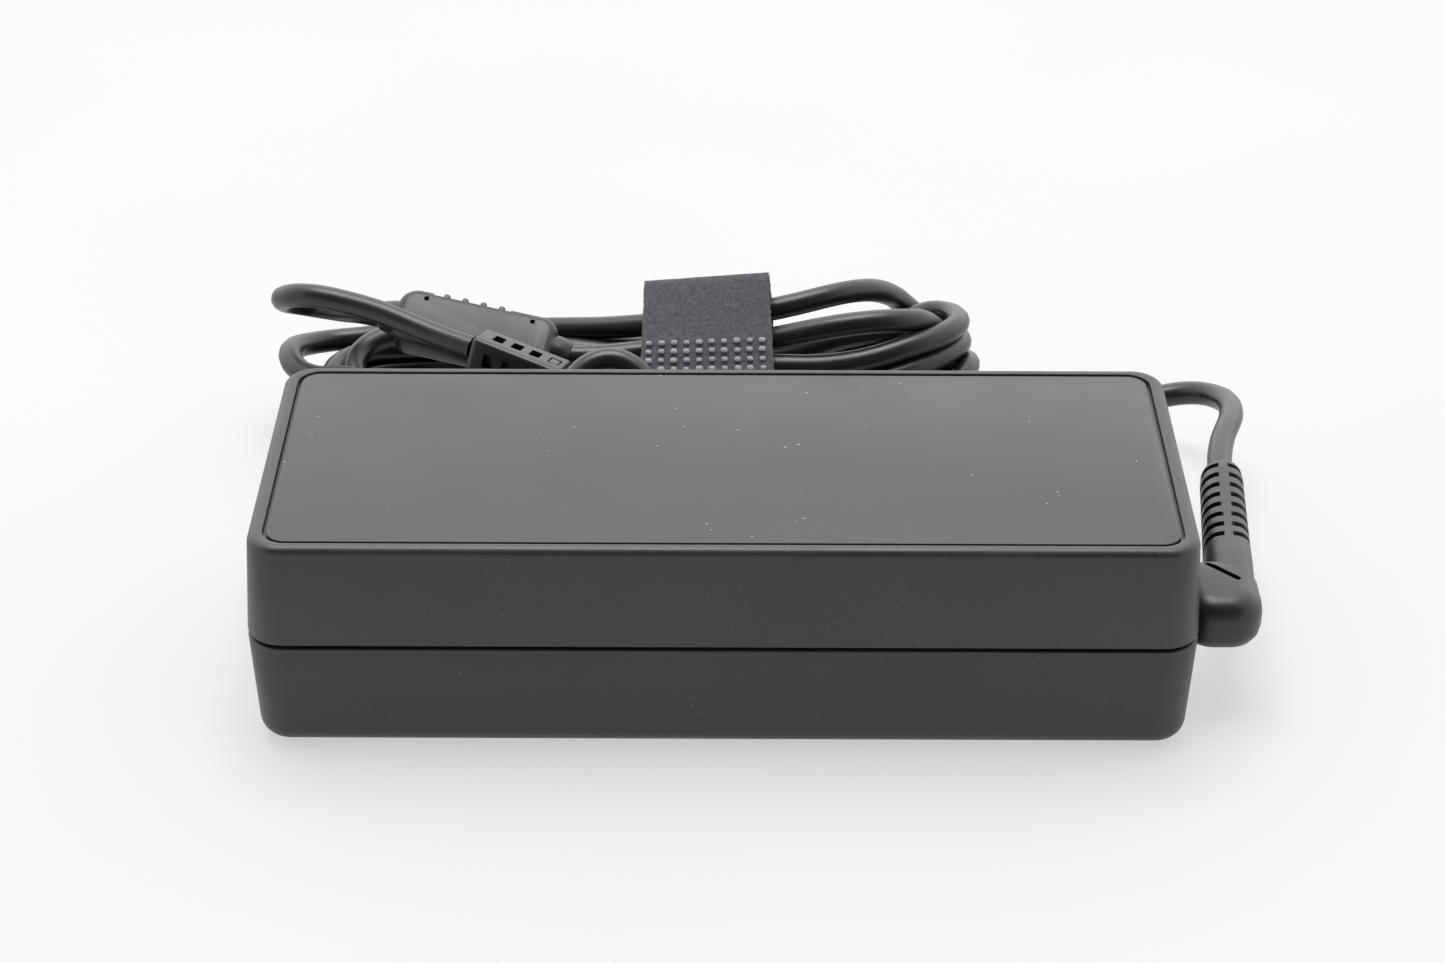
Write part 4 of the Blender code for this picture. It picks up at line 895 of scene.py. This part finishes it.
def build_studio():
    camera = bpy.data.cameras.new("camera")
    camera.sensor_width = 36.0
    camera.lens = CAMERA_LENS
    camera.clip_end = 20.0
    view = bpy.data.objects.new("camera", camera)
    tilt = Matrix.Rotation(math.radians(90 - CAMERA_DOWN), 4, "X")
    roll = Matrix.Rotation(math.radians(CAMERA_ROLL), 4, "Z")
    view.matrix_world = Matrix.Translation(CAMERA_PLACE) @ tilt @ roll
    bpy.context.scene.collection.objects.link(view)
    bpy.context.scene.camera = view
    area_light("key", KEY_PLACE, KEY_SIZE, KEY_POWER)
    world = bpy.data.worlds.new("studio")
    world.use_nodes = True
    tree = world.node_tree
    direction = tree.nodes.new("ShaderNodeTexCoord").outputs["Generated"]
    glow = sky_part(tree, direction, (0.0, 1.0, 0.0), (-0.6, 0.9), (0.95, 2.0))
    shade = sky_part(tree, direction, (0.0, -0.74, 0.67), (0.62, 0.88), (1.0, 0.03))
    both = tree.nodes.new("ShaderNodeMath")
    both.operation = "MULTIPLY"
    tree.links.new(glow, both.inputs[0])
    tree.links.new(shade, both.inputs[1])
    tree.links.new(both.outputs[0], tree.nodes["Background"].inputs["Strength"])
    tree.nodes["Background"].inputs["Color"].default_value = (0.97, 0.985, 1.0, 1.0)
    bpy.context.scene.world = world
    bpy.context.scene.view_settings.view_transform = "Standard"
    rings = [rounded_ring(FLOOR_SIZE, FLOOR_SIZE, FLOOR_CORNER, z) for z in (-8.0, -0.05)]
    floor, tree, shader = new_material("floor_look", (0.25, 0.25, 0.252), 0.8, specular=0.1)
    shader.inputs["Emission Color"].default_value = (0.985, 0.992, 1.0, 1.0)
    shader.inputs["Emission Strength"].default_value = FLOOR_GLOW
    soft = noise(tree, object_coordinates(tree), 6, 2.0)
    shade = mixed(tree, spread(tree, soft, 0, 1), (0.24, 0.24, 0.242), (0.26, 0.26, 0.262))
    tree.links.new(shade, shader.inputs["Base Color"])
    lofted("floor", rings, floor)


def area_light(name, place, size, power):
    light = bpy.data.lights.new(name, "AREA")
    light.shape = "SQUARE"
    light.size = size
    light.energy = power
    obj = bpy.data.objects.new(name, light)
    obj.location = place
    aim = Vector((0, 0.02, 0.01)) - Vector(place)
    obj.rotation_euler = aim.to_track_quat("-Z", "Y").to_euler()
    bpy.context.scene.collection.objects.link(obj)


# ---------------------------------------------------------------- everything
build_studio()
cord = build_cord()
build_upper_case()
build_lower_case()
build_label()
build_elbow()
filter_block = build_filter()
relief, plug_grip = build_plug()
strap, hooks = build_tie()
